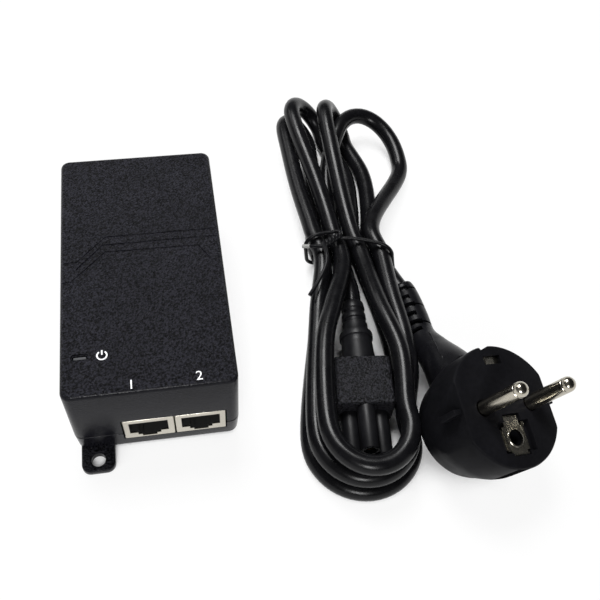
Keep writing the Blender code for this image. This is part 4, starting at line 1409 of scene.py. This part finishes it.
@dataclass
class Inlet:
    """The three-pole mains inlet in the rear wall."""

    width: float = 22.0
    low: float = 6.5
    height: float = 17.4
    depth: float = 16.0
    rear: float = 47.9
    axis_z: float = 15.4
    lobes: tuple[Pair, ...] = tuple(POLES.values())
    lobe: float = 3.5
    rim: float = 0.5
    recess: float = 12.0
    recess_over: float = 2.0
    bridge_drop: float = 1.0
    pin: float = 1.18
    pin_clear: float = 0.3
    pin_tip: float = 2.6
    pin_tail: float = 2.0

    def build_body(self) -> Piece:
        """Model the moulding with its three-lobed recess.

        Returns:
            The moulding.
        """
        half, outside = self.width / 2, self.rear + self.recess_over
        body = Bench.block((-half, self.rear - self.depth, self.low), (half, self.rear, self.low + self.height))
        Bench.bevel(body, Bench.level(1, self.rear), self.rim, 3)
        floor = self.rear - self.recess
        for x, z in self.lobes:
            Bench.cut(body, self._bar(self.lobe, floor, outside, x, z, 48))
        (left, low), (right, _), (_, high) = self.lobes
        Bench.cut(body, Bench.block((left, floor, self.axis_z + low - self.lobe),
                                    (right, outside, self.axis_z + high - self.bridge_drop)))
        for x, z in self.lobes:
            Bench.cut(body, self._bar(self.pin + self.pin_clear, self.rear - self.depth - 1, floor + 1, x, z, 24))
        return body

    def _bar(self, radius: float, near: float, far: float, x: float, z: float, sides: int) -> Piece:
        """Make a round bar along Y."""
        return Bench.lay_along_y(Bench.rod(radius, near, far, sides), x, self.axis_z + z)

    def build_pin(self, x: float, z: float) -> Piece:
        """Model one pin with a rounded tip.

        Args:
            x: its place across the inlet.
            z: its height from the inlet's axis.

        Returns:
            The pin.
        """
        tail, tip = self.rear - self.depth - self.pin_tail, self.rear - self.pin_tip
        profile = ((self.pin, tail), (self.pin, tip - 1.1), (self.pin * 0.95, tip - 0.6),
                   (self.pin * 0.75, tip - 0.2), (self.pin * 0.4, tip))
        return Bench.lay_along_y(Bench.turned(profile, 32), x, self.axis_z + z)

    def build(self) -> None:
        """Model and dress the inlet and its pins."""
        Bench.finish(self.build_body(), "inlet_moulding", Finishes.INSERT, Body.INJECTOR, ("mains_inlet_body",))
        for name, place in zip(POLES, self.lobes):
            Bench.finish(self.build_pin(*place), f"inlet_{name}_blade", Finishes.PIN, Body.INJECTOR,
                         (f"inlet_{name}_pin",))


@dataclass
class Marks:
    """Plain white marks: a power sign beside the light and a number over each jack."""

    lid_z: float = LID_TOP
    ink: float = 0.02
    sign_place: Pair = (-13.6, -34.4)
    sign_radius: float = 1.45
    sign_line: float = 0.24
    sign_sweep: Pair = (125.0, 415.0)
    sign_points: int = 40
    bar_foot: float = 0.2
    bar_over: float = 0.35
    figures: tuple[tuple[str, float, float], ...] = (("1", -5.4, -45.6), ("2", 14.6, -45.1))
    figure_size: float = 4.4

    def build_sign(self) -> Piece:
        """Draw an open ring with a bar in its gap.

        Returns:
            The sign.
        """
        x, y = self.sign_place
        z = self.lid_z
        ring = []
        for angle in np.radians(np.linspace(*self.sign_sweep, self.sign_points)):
            ring.append((x + self.sign_radius * math.cos(angle), y + self.sign_radius * math.sin(angle), z))
        sign = Bench.to_mesh(Bench.wire("sign", ring, self.sign_line, 1))
        bar = [(x, y + self.bar_foot, z), (x, y + self.sign_radius + self.bar_over, z)]
        Bench.weld(sign, Bench.to_mesh(Bench.wire("bar", bar, self.sign_line, 1)))
        return self._flatten(sign)

    def _flatten(self, item: Piece) -> Piece:
        """Press a mark down to a film of ink on the lid.

        Args:
            item: the mark.

        Returns:
            The same mark.
        """
        low = min(v.co.z for v in item.data.vertices)
        high = max(v.co.z for v in item.data.vertices)
        Bench.choose(item, Part.FACE, lambda face: True)
        bpy.ops.transform.resize(value=(1.0, 1.0, self.ink / max(high - low, self.ink)),
                                 center_override=(0.0, 0.0, self.lid_z))
        bpy.ops.object.mode_set(mode="OBJECT")
        return item

    def build_figure(self, text: str, x: float, y: float) -> Piece:
        """Set one figure as a thin film.

        Args:
            text: the figure.
            x: its place across the lid.
            y: its place along the lid.

        Returns:
            The figure's mesh.
        """
        Bench.clear()
        bpy.ops.object.text_add(location=(0.0, 0.0, 0.0))
        item = bpy.context.object
        item.data.body = text
        item.data.size = self.figure_size
        item.data.align_x = item.data.align_y = "CENTER"
        item.data.extrude = self.ink / 2
        return Bench.put(Bench.to_mesh(item), Matrix.Translation((x, y, self.lid_z)))

    def build(self) -> None:
        """Print the marks."""
        Bench.finish(self.build_sign(), "mark_power_sign", Finishes.INK, Body.INJECTOR)
        for text, x, y in self.figures:
            Bench.finish(self.build_figure(text, x, y), f"mark_figure_{text}", Finishes.INK, Body.INJECTOR)


@dataclass
class Light:
    """The power light's lens in its slot."""

    middle: Pair = LIGHT_PLACE
    size: Pair = (3.9, 1.0)
    low: float = 11.0
    high: float = 35.5
    edge: float = 0.15

    def build(self) -> None:
        """Model and dress the lens."""
        lens = Bench.pill(self.size, self.low, self.high, self.middle)
        Bench.bevel(lens, Bench.level(2, self.high), self.edge, 3)
        Bench.finish(lens, "light_lens_piece", Finishes.LENS, Body.INJECTOR, ("power_light_pipe",))


@dataclass
class Connector:
    """The three-pole connector at the lead's appliance end, along its own Y from the nose's tip."""

    tip: Point = (66.4, -64.4, 6.9)
    heading: float = 5.8
    half_width: float = 9.8
    half_height: float = 6.7
    nose_end: float = 15.4
    body_end: float = 33.4
    side_round: float = 1.6
    end_round: float = 0.7
    lobes: tuple[Pair, ...] = tuple(POLES.values())
    lobe: float = 3.1
    lobe_rim: tuple[Pair, ...] = ((0.45, 0.0), (0.15, 0.12), (0.0, 0.45))
    lobe_root: float = 2.0
    bar_half: float = 2.0
    bar_span: Pair = (0.5, 1.5)
    post_half: float = 2.4
    post_span: Pair = (0.7, 1.0)
    hole: float = 2.0
    hole_flare: float = 0.3
    boot: tuple[Pair, ...] = (
        (6.2, -1.5), (6.0, 0.6), (5.7, 4.0), (5.5, 7.4), (5.35, 9.5), (5.5, 9.8), (5.85, 10.0), (5.9, 10.3),
        (5.9, 11.9), (5.8, 12.2), (4.7, 12.4), (4.55, 12.9), (4.5, 16.2), (4.3, 16.5), (3.9, 16.6), (3.85, 18.0),
        (4.3, 18.2), (4.4, 18.6), (4.3, 20.3), (4.1, 20.6), (3.75, 20.8), (3.7, 22.1), (4.1, 22.4), (4.2, 22.8),
        (4.05, 25.0), (3.85, 25.4))

    def place(self) -> Matrix:
        """Give where the connector lies."""
        return Matrix.Translation(self.tip) @ Matrix.Rotation(-math.radians(self.heading), 4, "Z")

    def build_body(self) -> Piece:
        """Model the block with its rounded edges.

        Returns:
            The block.
        """
        body = Bench.block((-self.half_width, self.nose_end, -self.half_height),
                           (self.half_width, self.body_end, self.half_height))
        Bench.bevel(body, lambda e: abs(e.verts[0].co.y - e.verts[1].co.y) > 1, self.side_round, 4)
        at_nose, at_boot = Bench.level(1, self.nose_end), Bench.level(1, self.body_end)
        Bench.bevel(body, lambda e: at_nose(e) or at_boot(e), self.end_round, 3)
        return body

    def build_boot(self) -> Piece:
        """Model the neck, its flange and the ringed boot."""
        profile = [(radius, self.body_end + along) for radius, along in self.boot]
        return Bench.lay_along_y(Bench.turned(profile, 48))

    def build_nose(self) -> Piece:
        """Model the smooth nose that stands out of the block: three bored lobes and the bars between them.

        Returns:
            The nose.
        """
        rim = [(self.lobe - inset, along) for inset, along in self.lobe_rim]
        outline = (*rim, (self.lobe, self.nose_end + self.lobe_root))
        nose, *others = [Bench.lay_along_y(Bench.turned(outline, 40), x, z) for x, z in self.lobes]
        (left, low), (right, _), (_, high) = self.lobes
        (bar, bar_root), (post, post_root) = self.bar_span, self.post_span
        Bench.weld(nose, *others, Bench.block((left, bar, low - self.bar_half),
                                              (right, self.nose_end + bar_root, low + self.bar_half)),
                   Bench.block((-self.post_half, post, low), (self.post_half, self.nose_end + post_root, high)))
        bore = ((self.hole + self.hole_flare, -0.2), (self.hole, 0.35), (self.hole, self.nose_end - 1))
        for x, z in self.lobes:
            Bench.cut(nose, Bench.lay_along_y(Bench.turned(bore, 32), x, z))
        return nose

    def build(self) -> list[Piece]:
        """Model the connector, give its block a textured finish and its nose and boot a smooth one.

        Returns:
            Its pieces.
        """
        body, boot, nose = self.build_body(), self.build_boot(), self.build_nose()
        looks = ((body, "connector_moulding", Finishes.CONNECTOR, ("connector_body",)),
                 (nose, "connector_nose", Finishes.NOSE, ()), (boot, "connector_boot", Finishes.NOSE, ()))
        return [Bench.finish(item, name, look, Body.LEAD, nodes, self.place()) for item, name, look, nodes in looks]


@dataclass
class Plug:
    """The earthed side-entry plug, with Z along its pins and Y towards its cord."""

    face: Point = (107.0, -63.6, 29.5)
    pins_way: Point = (0.355, -0.1754, 0.9183)
    cord_way: Point = (-0.0858, 0.972, 0.2188)
    radius: float = 19.9
    flat: float = 17.5
    depth: float = 26.0
    back: float = 13.8
    rib: Point = (2.6, 0.9, 9.0)
    rib_edge: float = 0.25
    edge: float = 0.45
    pin: float = 2.4
    pin_length: float = 19.0
    pin_root: float = 9.0
    spacing: float = 19.0
    gap: float = 0.3
    earth_hole: float = 2.5
    earth_offset: float = 10.0
    earth_depth: float = 14.0
    earth_rim: float = 0.55
    clip_half: float = 3.1
    clip_sheet: float = 0.6
    clip_edge: float = 0.08
    clip_depth: float = 1.0
    clip_leg: float = 18.2
    clip_drop: float = 12.0
    clip_window: Pair = (13.6, 16.4)
    clip_lip: Pair = (0.55, -0.25)
    socket_window: Pair = (2.6, 15.6)
    socket_wide: Point = (4.3, 6.3, 13.9)
    socket_room: Point = (6.2, 5.0, 14.6)
    socket_edge: tuple[Pair, Pair] = ((-5.9, -5.3), (-13.4, -7.2))
    socket_edge_top: float = -0.3
    socket_step: Pair = (0.5, 0.3)
    socket_tab: Point = (0.7, 0.3, 0.9)
    socket_tab_top: float = -0.4
    socket_lip: Point = (-15.3, -14.8, -0.5)
    notch: Pair = (-3.3, 18.5)
    notch_size: Pair = (6.0, 4.0)
    notch_turn: float = 19.2
    neck_root: Point = (0.0, 4.0, -14.5)
    neck_run: tuple[Point, ...] = ((98.3, -41.5, 14.0), (96.1, -31.2, 9.9))
    boot_run: tuple[Point, ...] = ((93.9, -23.0, 7.0), (93.7, -14.0, 6.4), (93.2, -5.5, 6.0))
    boot_pitch: float = 0.25
    boot_mouth: float = 2.6
    boot_length: float = 24.0
    mouth_round: float = 1.0
    mouth_drop: float = 0.9
    neck_radii: Pair = (11.0, 5.6)
    boot_end: float = 4.6
    core: float = 3.5
    core_ends: tuple[int, int] = (12, 4)
    slots: tuple[Point, ...] = (
        (3.8, -0.1, 2.2), (3.8, -1.2, 0.8), (7.8, 0.1, 2.1), (11.6, -0.1, 2.2), (11.6, -1.2, 0.8), (15.6, 0.05, 2.1),
        (19.5, -0.2, 2.2), (19.5, -1.2, 0.8), (23.6, 0.0, 1.9))
    seam: tuple[Pair, ...] = ((27.0, 102), (28.0, 99), (31.0, 90), (34.0, 81), (37.0, 75), (40.0, 69),
                                             (43.0, 66), (44.0, 65))
    seam_wire: float = 0.2
    seam_sink: float = 0.6
    seam_pitch: float = 0.5

    def place(self) -> Matrix:
        """Give where the plug lies.

        Returns:
            The place of its own frame.
        """
        out = Vector(self.pins_way).normalized()
        up = Vector(self.cord_way)
        up = (up - out * up.dot(out)).normalized()
        place = Matrix((up.cross(out), up, out)).transposed().to_4x4()
        place.translation = Vector(self.face)
        return place

    def body_profile(self) -> tuple[Pair, ...]:
        """Give the outline of the round body from its back to its face.

        Returns:
            Radius and height pairs.
        """
        wide, deep, small = self.radius, -self.depth, self.back
        return ((small - 1.2, deep), (small, deep + 0.25), (small + 1.3, deep + 0.7), (small + 2.4, deep + 1.4),
                (wide - 2.9, deep + 3.4), (wide - 2.2, deep + 6.0), (wide - 1.2, deep + 9.0), (wide - 0.4, deep + 11.6),
                (wide, deep + 14.0), (wide, -1.0), (wide - 0.12, -0.5), (wide - 0.42, -0.14), (wide - 0.9, 0.0))

    def boot_path(self, run: Sequence[Point]) -> np.ndarray:
        """Give the middle line of neck and boot in the plug's own frame.

        Args:
            run: the last points of the cord.

        Returns:
            Points along the neck and the boot.
        """
        lead_in = Vector(run[-1])
        way = (lead_in - Vector(run[-2])).normalized()
        places = [*self.neck_run, *self.boot_run, lead_in + way * self.boot_mouth, lead_in + way * self.gap]
        inverse = self.place().inverted()
        keys = [self.neck_root] + [tuple(inverse @ Vector(place)) for place in places]
        return Route.smooth(np.array(keys, dtype=float), self.boot_pitch)

    def boot_radii(self, path: np.ndarray) -> list[float]:
        """Give the neck's taper, the boot's taper and its rounded mouth.

        Args:
            path: the middle line.

        Returns:
            One radius for each point.
        """
        run = np.concatenate([[0.0], np.cumsum(np.linalg.norm(np.diff(path, axis=0), axis=1))])
        neck = run[-1] - self.boot_length
        root, end = self.neck_radii
        radii = []
        for here in run:
            share = here / neck
            if share < 1:
                radii.append(root + (end - root) * share * share * (3 - 2 * share))
                continue
            close = max(self.mouth_round - (run[-1] - here), 0.0)
            taper = (self.boot_end - end) * (here - neck) / self.boot_length
            radii.append(end + taper - self.mouth_drop * close * close)
        return radii

    def boot_frame(self, path: np.ndarray, back: float) -> Matrix:
        """Give a place on the middle line, with X to the left, Y towards the plug and Z up.

        Args:
            path: the middle line of neck and boot.
            back: how far the place is from the boot's mouth.

        Returns:
            The place in the plug's own frame.
        """
        index = self.boot_index(path, back)
        along = Vector(path[index - 2] - path[index + 2]).normalized()
        above = self.place().inverted().to_3x3() @ Vector((0.0, 0.0, 1.0))
        left = along.cross(above).normalized()
        basis = Matrix((left, along, left.cross(along))).transposed().to_4x4()
        basis.translation = Vector(path[index])
        return basis

    def boot_index(self, path: np.ndarray, back: float) -> int:
        """Give the middle line's point at a distance from the boot's mouth."""
        return len(path) - 1 - int(round(back / self.boot_pitch))

    def slot_block(self, basis: Matrix, reach: float, width: float, radius: float) -> Piece:
        """Make the cutter of one slot in the boot, open to the left.

        Args:
            basis: the slot's place on the boot.
            reach: where the slot ends, as a share of the radius to the left of the middle line.
            width: how wide the slot is.
            radius: the boot's radius there.

        Returns:
            The cutter.
        """
        half, far = width / 2, radius + 2
        return Bench.put(Bench.block((reach * radius, -half, -far), (far, half, far)), basis)

    def seam_line(self, path: np.ndarray, radii: Sequence[float]) -> Piece:
        """Make the fine moulding seam that runs down the neck.

        Args:
            path: the middle line of neck and boot.
            radii: the radius at each of its points.

        Returns:
            The seam, half sunk in the neck, with its ends below the surface.
        """
        points = []
        for back, turn in self.seam:
            ends = back in (self.seam[0][0], self.seam[-1][0])
            out = radii[self.boot_index(path, back)] - (self.seam_sink if ends else 0.0)
            angle = math.radians(turn)
            points.append(self.boot_frame(path, back) @ Vector((out * math.cos(angle), 0.0, out * math.sin(angle))))
        line = Route.smooth(np.array(points, dtype=float), self.seam_pitch)
        return Bench.to_mesh(Bench.wire("seam", line, self.seam_wire, 2))

    def build_boot(self, run: Sequence[Point]) -> Piece:
        """Model the neck and the slotted boot, with the cord's end inside it.

        Args:
            run: the last points of the cord.

        Returns:
            The boot.
        """
        path = self.boot_path(run)
        radii = self.boot_radii(path)
        boot = Bench.to_mesh(Bench.wire("boot", path, 1.0, 12, radii))
        Bench.weld(boot, self.seam_line(path, radii))
        for back, reach, width in self.slots:
            radius = radii[self.boot_index(path, back)]
            Bench.cut(boot, self.slot_block(self.boot_frame(path, back), reach, width, radius))
        over, short = self.core_ends
        inner = path[-int(self.boot_length / self.boot_pitch) - over:-short]
        Bench.weld(boot, Bench.to_mesh(Bench.wire("core", inner, self.core, 10)))
        return boot

    def build_shell(self) -> Piece:
        """Model the round body with its flats, side ribs and softened edges.

        Returns:
            The body, still solid.
        """
        body = Bench.turned(self.body_profile(), 128)
        out, half, drop = self.rib
        for side in (-1, 1):
            near, far = sorted((side * self.flat, side * (self.radius + 2)))
            Bench.cut(body, Bench.block((near, -self.radius, -self.depth - 1), (far, self.radius, 1.0)))
        Bench.soften(body, self.edge)
        for side in (-1, 1):
            near, far = sorted((side * (self.flat - 1), side * (self.flat + out)))
            rib = Bench.block((near, -half, -drop), (far, half, -self.clip_depth))
            Bench.bevel(rib, lambda e: True, self.rib_edge, 3)
            Bench.weld(body, rib)
        return body

    def plate_levels(self) -> Pair:
        """Give the heights of a clip plate's underside and top."""
        return -self.clip_depth - self.clip_sheet, -self.clip_depth

    def hollow(self, body: Piece) -> Piece:
        """Cut the holes and the clip channels into the body or the boot.

        Args:
            body: the shape to cut.

        Returns:
            The same shape.
        """
        for side in (-1, 1):
            Bench.cut(body, Bench.rod(self.pin + self.gap, -self.pin_root - self.gap, 1.0, 40,
                                      (side * self.spacing / 2, 0.0)))
        under, over = self.plate_levels()
        low, top = under - self.gap, over + self.gap
        inner, room = self.clip_leg - self.clip_sheet, self.clip_half + self.gap
        for side, (near, far) in ((1, self.clip_window), (-1, self.socket_window)):
            Bench.cut(body, self._span(room, side * near, side * far, low, 1.0),
                      self._span(room, side * (far - 1), side * (inner + self.gap), low, top),
                      self._span(room, side * (inner - self.gap), side * (self.radius + 2),
                                 -self.clip_drop - self.gap, top))
        half, first, last = self.socket_room
        Bench.cut(body, self._span(half, -first, -last, low, 1.0), self._notch(),
                  Bench.rod(self.earth_hole + self.gap, -self.earth_depth, 1.0, 40, (0.0, -self.earth_offset)))
        return body

    def _span(self, half: float, first: float, last: float, low: float, high: float) -> Piece:
        """Make a block centred across the plug between two distances along its face."""
        near, far = sorted((first, last))
        return Bench.block((-half, near, low), (half, far, high))

    def _notch(self) -> Piece:
        """Make the cutter of the small step in the rim beside the upper clip.

        Returns:
            The cutter.
        """
        block = Bench.block((0.0, 0.0, self.plate_levels()[0]), (*self.notch_size, 1.0))
        turn = Matrix.Rotation(math.radians(self.notch_turn), 4, "Z")
        return Bench.put(block, Matrix.Translation((*self.notch, 0.0)) @ turn)

    def _sheet(self, side: int, near: float) -> Piece:
        """Bend the plain part of a clip: a plate under the face and a leg down the side.

        Args:
            side: 1 for the cord's side and -1 for the other.
            near: how far from the middle the plate begins.

        Returns:
            The bent sheet.
        """
        low, top = self.plate_levels()
        inner = self.clip_leg - self.clip_sheet
        plate = self._span(self.clip_half, side * (near + self.gap), side * self.clip_leg, low, top)
        Bench.weld(plate, self._span(self.clip_half, side * inner, side * self.clip_leg, -self.clip_drop, top - 0.1))
        return plate

    def build_clip(self) -> Piece:
        """Model the upper clip with the lip at its left edge.

        Returns:
            The clip.
        """
        near, far = self.clip_window
        wide, lip_top = self.clip_lip
        plate = self._sheet(1, near)
        Bench.weld(plate, Bench.block((-self.clip_half, near + self.gap, self.plate_levels()[0]),
                                      (-self.clip_half + wide, far - self.gap, lip_top)))
        Bench.soften(plate, self.clip_edge)
        return plate

    def build_socket(self) -> Piece:
        """Model the lower clip: a wide plate with a rolled hole, an upright edge, a tab and a lower lip.

        Returns:
            The clip.
        """
        plate = self._sheet(-1, self.socket_window[0])
        low, top = self.plate_levels()
        half, first, last = self.socket_wide
        middle, rim = (0.0, -self.earth_offset), self.earth_hole + self.earth_rim
        rolled = ((rim, low), (rim, top + 0.1), (rim - 0.15, top + 0.25), (rim - 0.4, top + 0.3))
        (left, right), (near, far) = self.socket_edge
        lap, thick = self.socket_step
        wide, before, behind = self.socket_tab
        lip_near, lip_far, lip_top = self.socket_lip
        Bench.weld(plate, self._span(half, -first, -last, low, top - 0.02),
                   Bench.block((left, near, low), (-half + lap, far, low + thick)),
                   Bench.block((left, near, low), (right, far, self.socket_edge_top)),
                   Bench.block((half - wide, -first - before, low), (half, -first + behind, self.socket_tab_top)),
                   self._span(self.clip_half, lip_near, lip_far, low, lip_top),
                   Bench.turned(rolled, 48, middle))
        Bench.cut(plate, Bench.rod(self.earth_hole, low - 1, 1.0, 48, middle))
        Bench.soften(plate, self.clip_edge)
        return plate

    def build_pin(self, side: int) -> Piece:
        """Model one pin with a domed tip and the fine line behind it.

        Args:
            side: -1 for the left pin and 1 for the right one.

        Returns:
            The pin.
        """
        r, top = self.pin, self.pin_length
        profile = ((r, -self.pin_root), (r, top - 2.75), (r - 0.14, top - 2.6), (r, top - 2.45), (r, top - 2.1),
                   (r * 0.97, top - 1.5), (r * 0.87, top - 0.9), (r * 0.68, top - 0.4), (r * 0.4, top - 0.1),
                   (r * 0.08, top))
        return Bench.turned(profile, 48, (side * self.spacing / 2, 0.0))

    def build(self, run: Sequence[Point]) -> list[Piece]:
        """Model and dress the plug.

        Args:
            run: the last points of the cord.

        Returns:
            Its pieces.
        """
        place = self.place()
        made = [Bench.finish(self.hollow(self.build_shell()), "plug_moulding", Finishes.PLUG, Body.LEAD,
                             ("plug_body",), place),
                Bench.finish(self.hollow(self.build_boot(run)), "plug_boot", Finishes.BOOT, Body.LEAD, (), place)]
        for side, name in ((-1, "left"), (1, "right")):
            made.append(Bench.finish(self.build_pin(side), f"plug_{name}_prong", Finishes.PIN, Body.LEAD,
                                     (f"plug_pin_{name}",), place))
        for plate, name in ((self.build_clip(), "plug_earth_clip"), (self.build_socket(), "plug_earth_socket")):
            made.append(Bench.finish(plate, f"{name}_plate", Finishes.CLIP, Body.LEAD, (name,), place))
        return made


@dataclass
class Innards:
    """The CAD nodes that keep their shape and get their finish."""

    looks: tuple[tuple[Finish, tuple[str, ...]], ...] = (
        (Finishes.LAMINATE, ("circuit_board",)),
        (Finishes.INSERT, ("lan_jack_insert", "poe_jack_insert")),
        (Finishes.GOLD, ("lan_jack_contacts", "poe_jack_contacts")),
        (Finishes.LAMP, ("power_lamp",)),
        (Finishes.FERRITE, ("transformer_core",)),
        (Finishes.TAPE, ("transformer_winding",)),
        (Finishes.COPPER, ("noise_filter_choke",)),
        (Finishes.SLEEVE, ("bulk_capacitor", "output_capacitor_1", "output_capacitor_2")),
        (Finishes.AMBER, ("filter_capacitor",)),
        (Finishes.EPOXY, ("bridge_rectifier", "mains_fuse", "data_transformer", "control_chip",
                          "switching_transistor", "output_rectifier")),
        (Finishes.ALUMINIUM, ("heat_sink",)),
        (Finishes.STEEL, tuple(f"case_screw_{number}" for number in range(1, 5))),
        (Finishes.BRASS, tuple(f"connector_{pole}_contact" for pole in POLES)),
    )

    def dress(self) -> None:
        """Give each node its finish."""
        for look, names in self.looks:
            for name in names:
                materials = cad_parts[name].data.materials
                materials.clear()
                materials.append(look.material())
                LOG.info("%s: CAD shape, %s", name, look.name)


def main() -> None:
    """Build every sub-assembly in order."""
    logging.basicConfig(level=logging.INFO, format="%(name)s: %(message)s")
    View().build()
    lead = Lead()
    cord, route = lead.build_cord()
    tie, tip = lead.build_tie(route)
    lead.dress(cord, tie, tip)
    connector_pieces = Connector().build()
    plug_pieces = Plug().build(lead.plug_run)
    lead.declare(route)
    case = Case()
    case.dress(case.build_lid(), case.build_tray())
    jacks = Jacks()
    for name, middle in jacks.middles:
        jacks.dress(name, jacks.build(middle))
    Inlet().build()
    Light().build()
    Marks().build()
    Innards().dress()
    Studio().build()


if __name__ == "__main__":
    main()
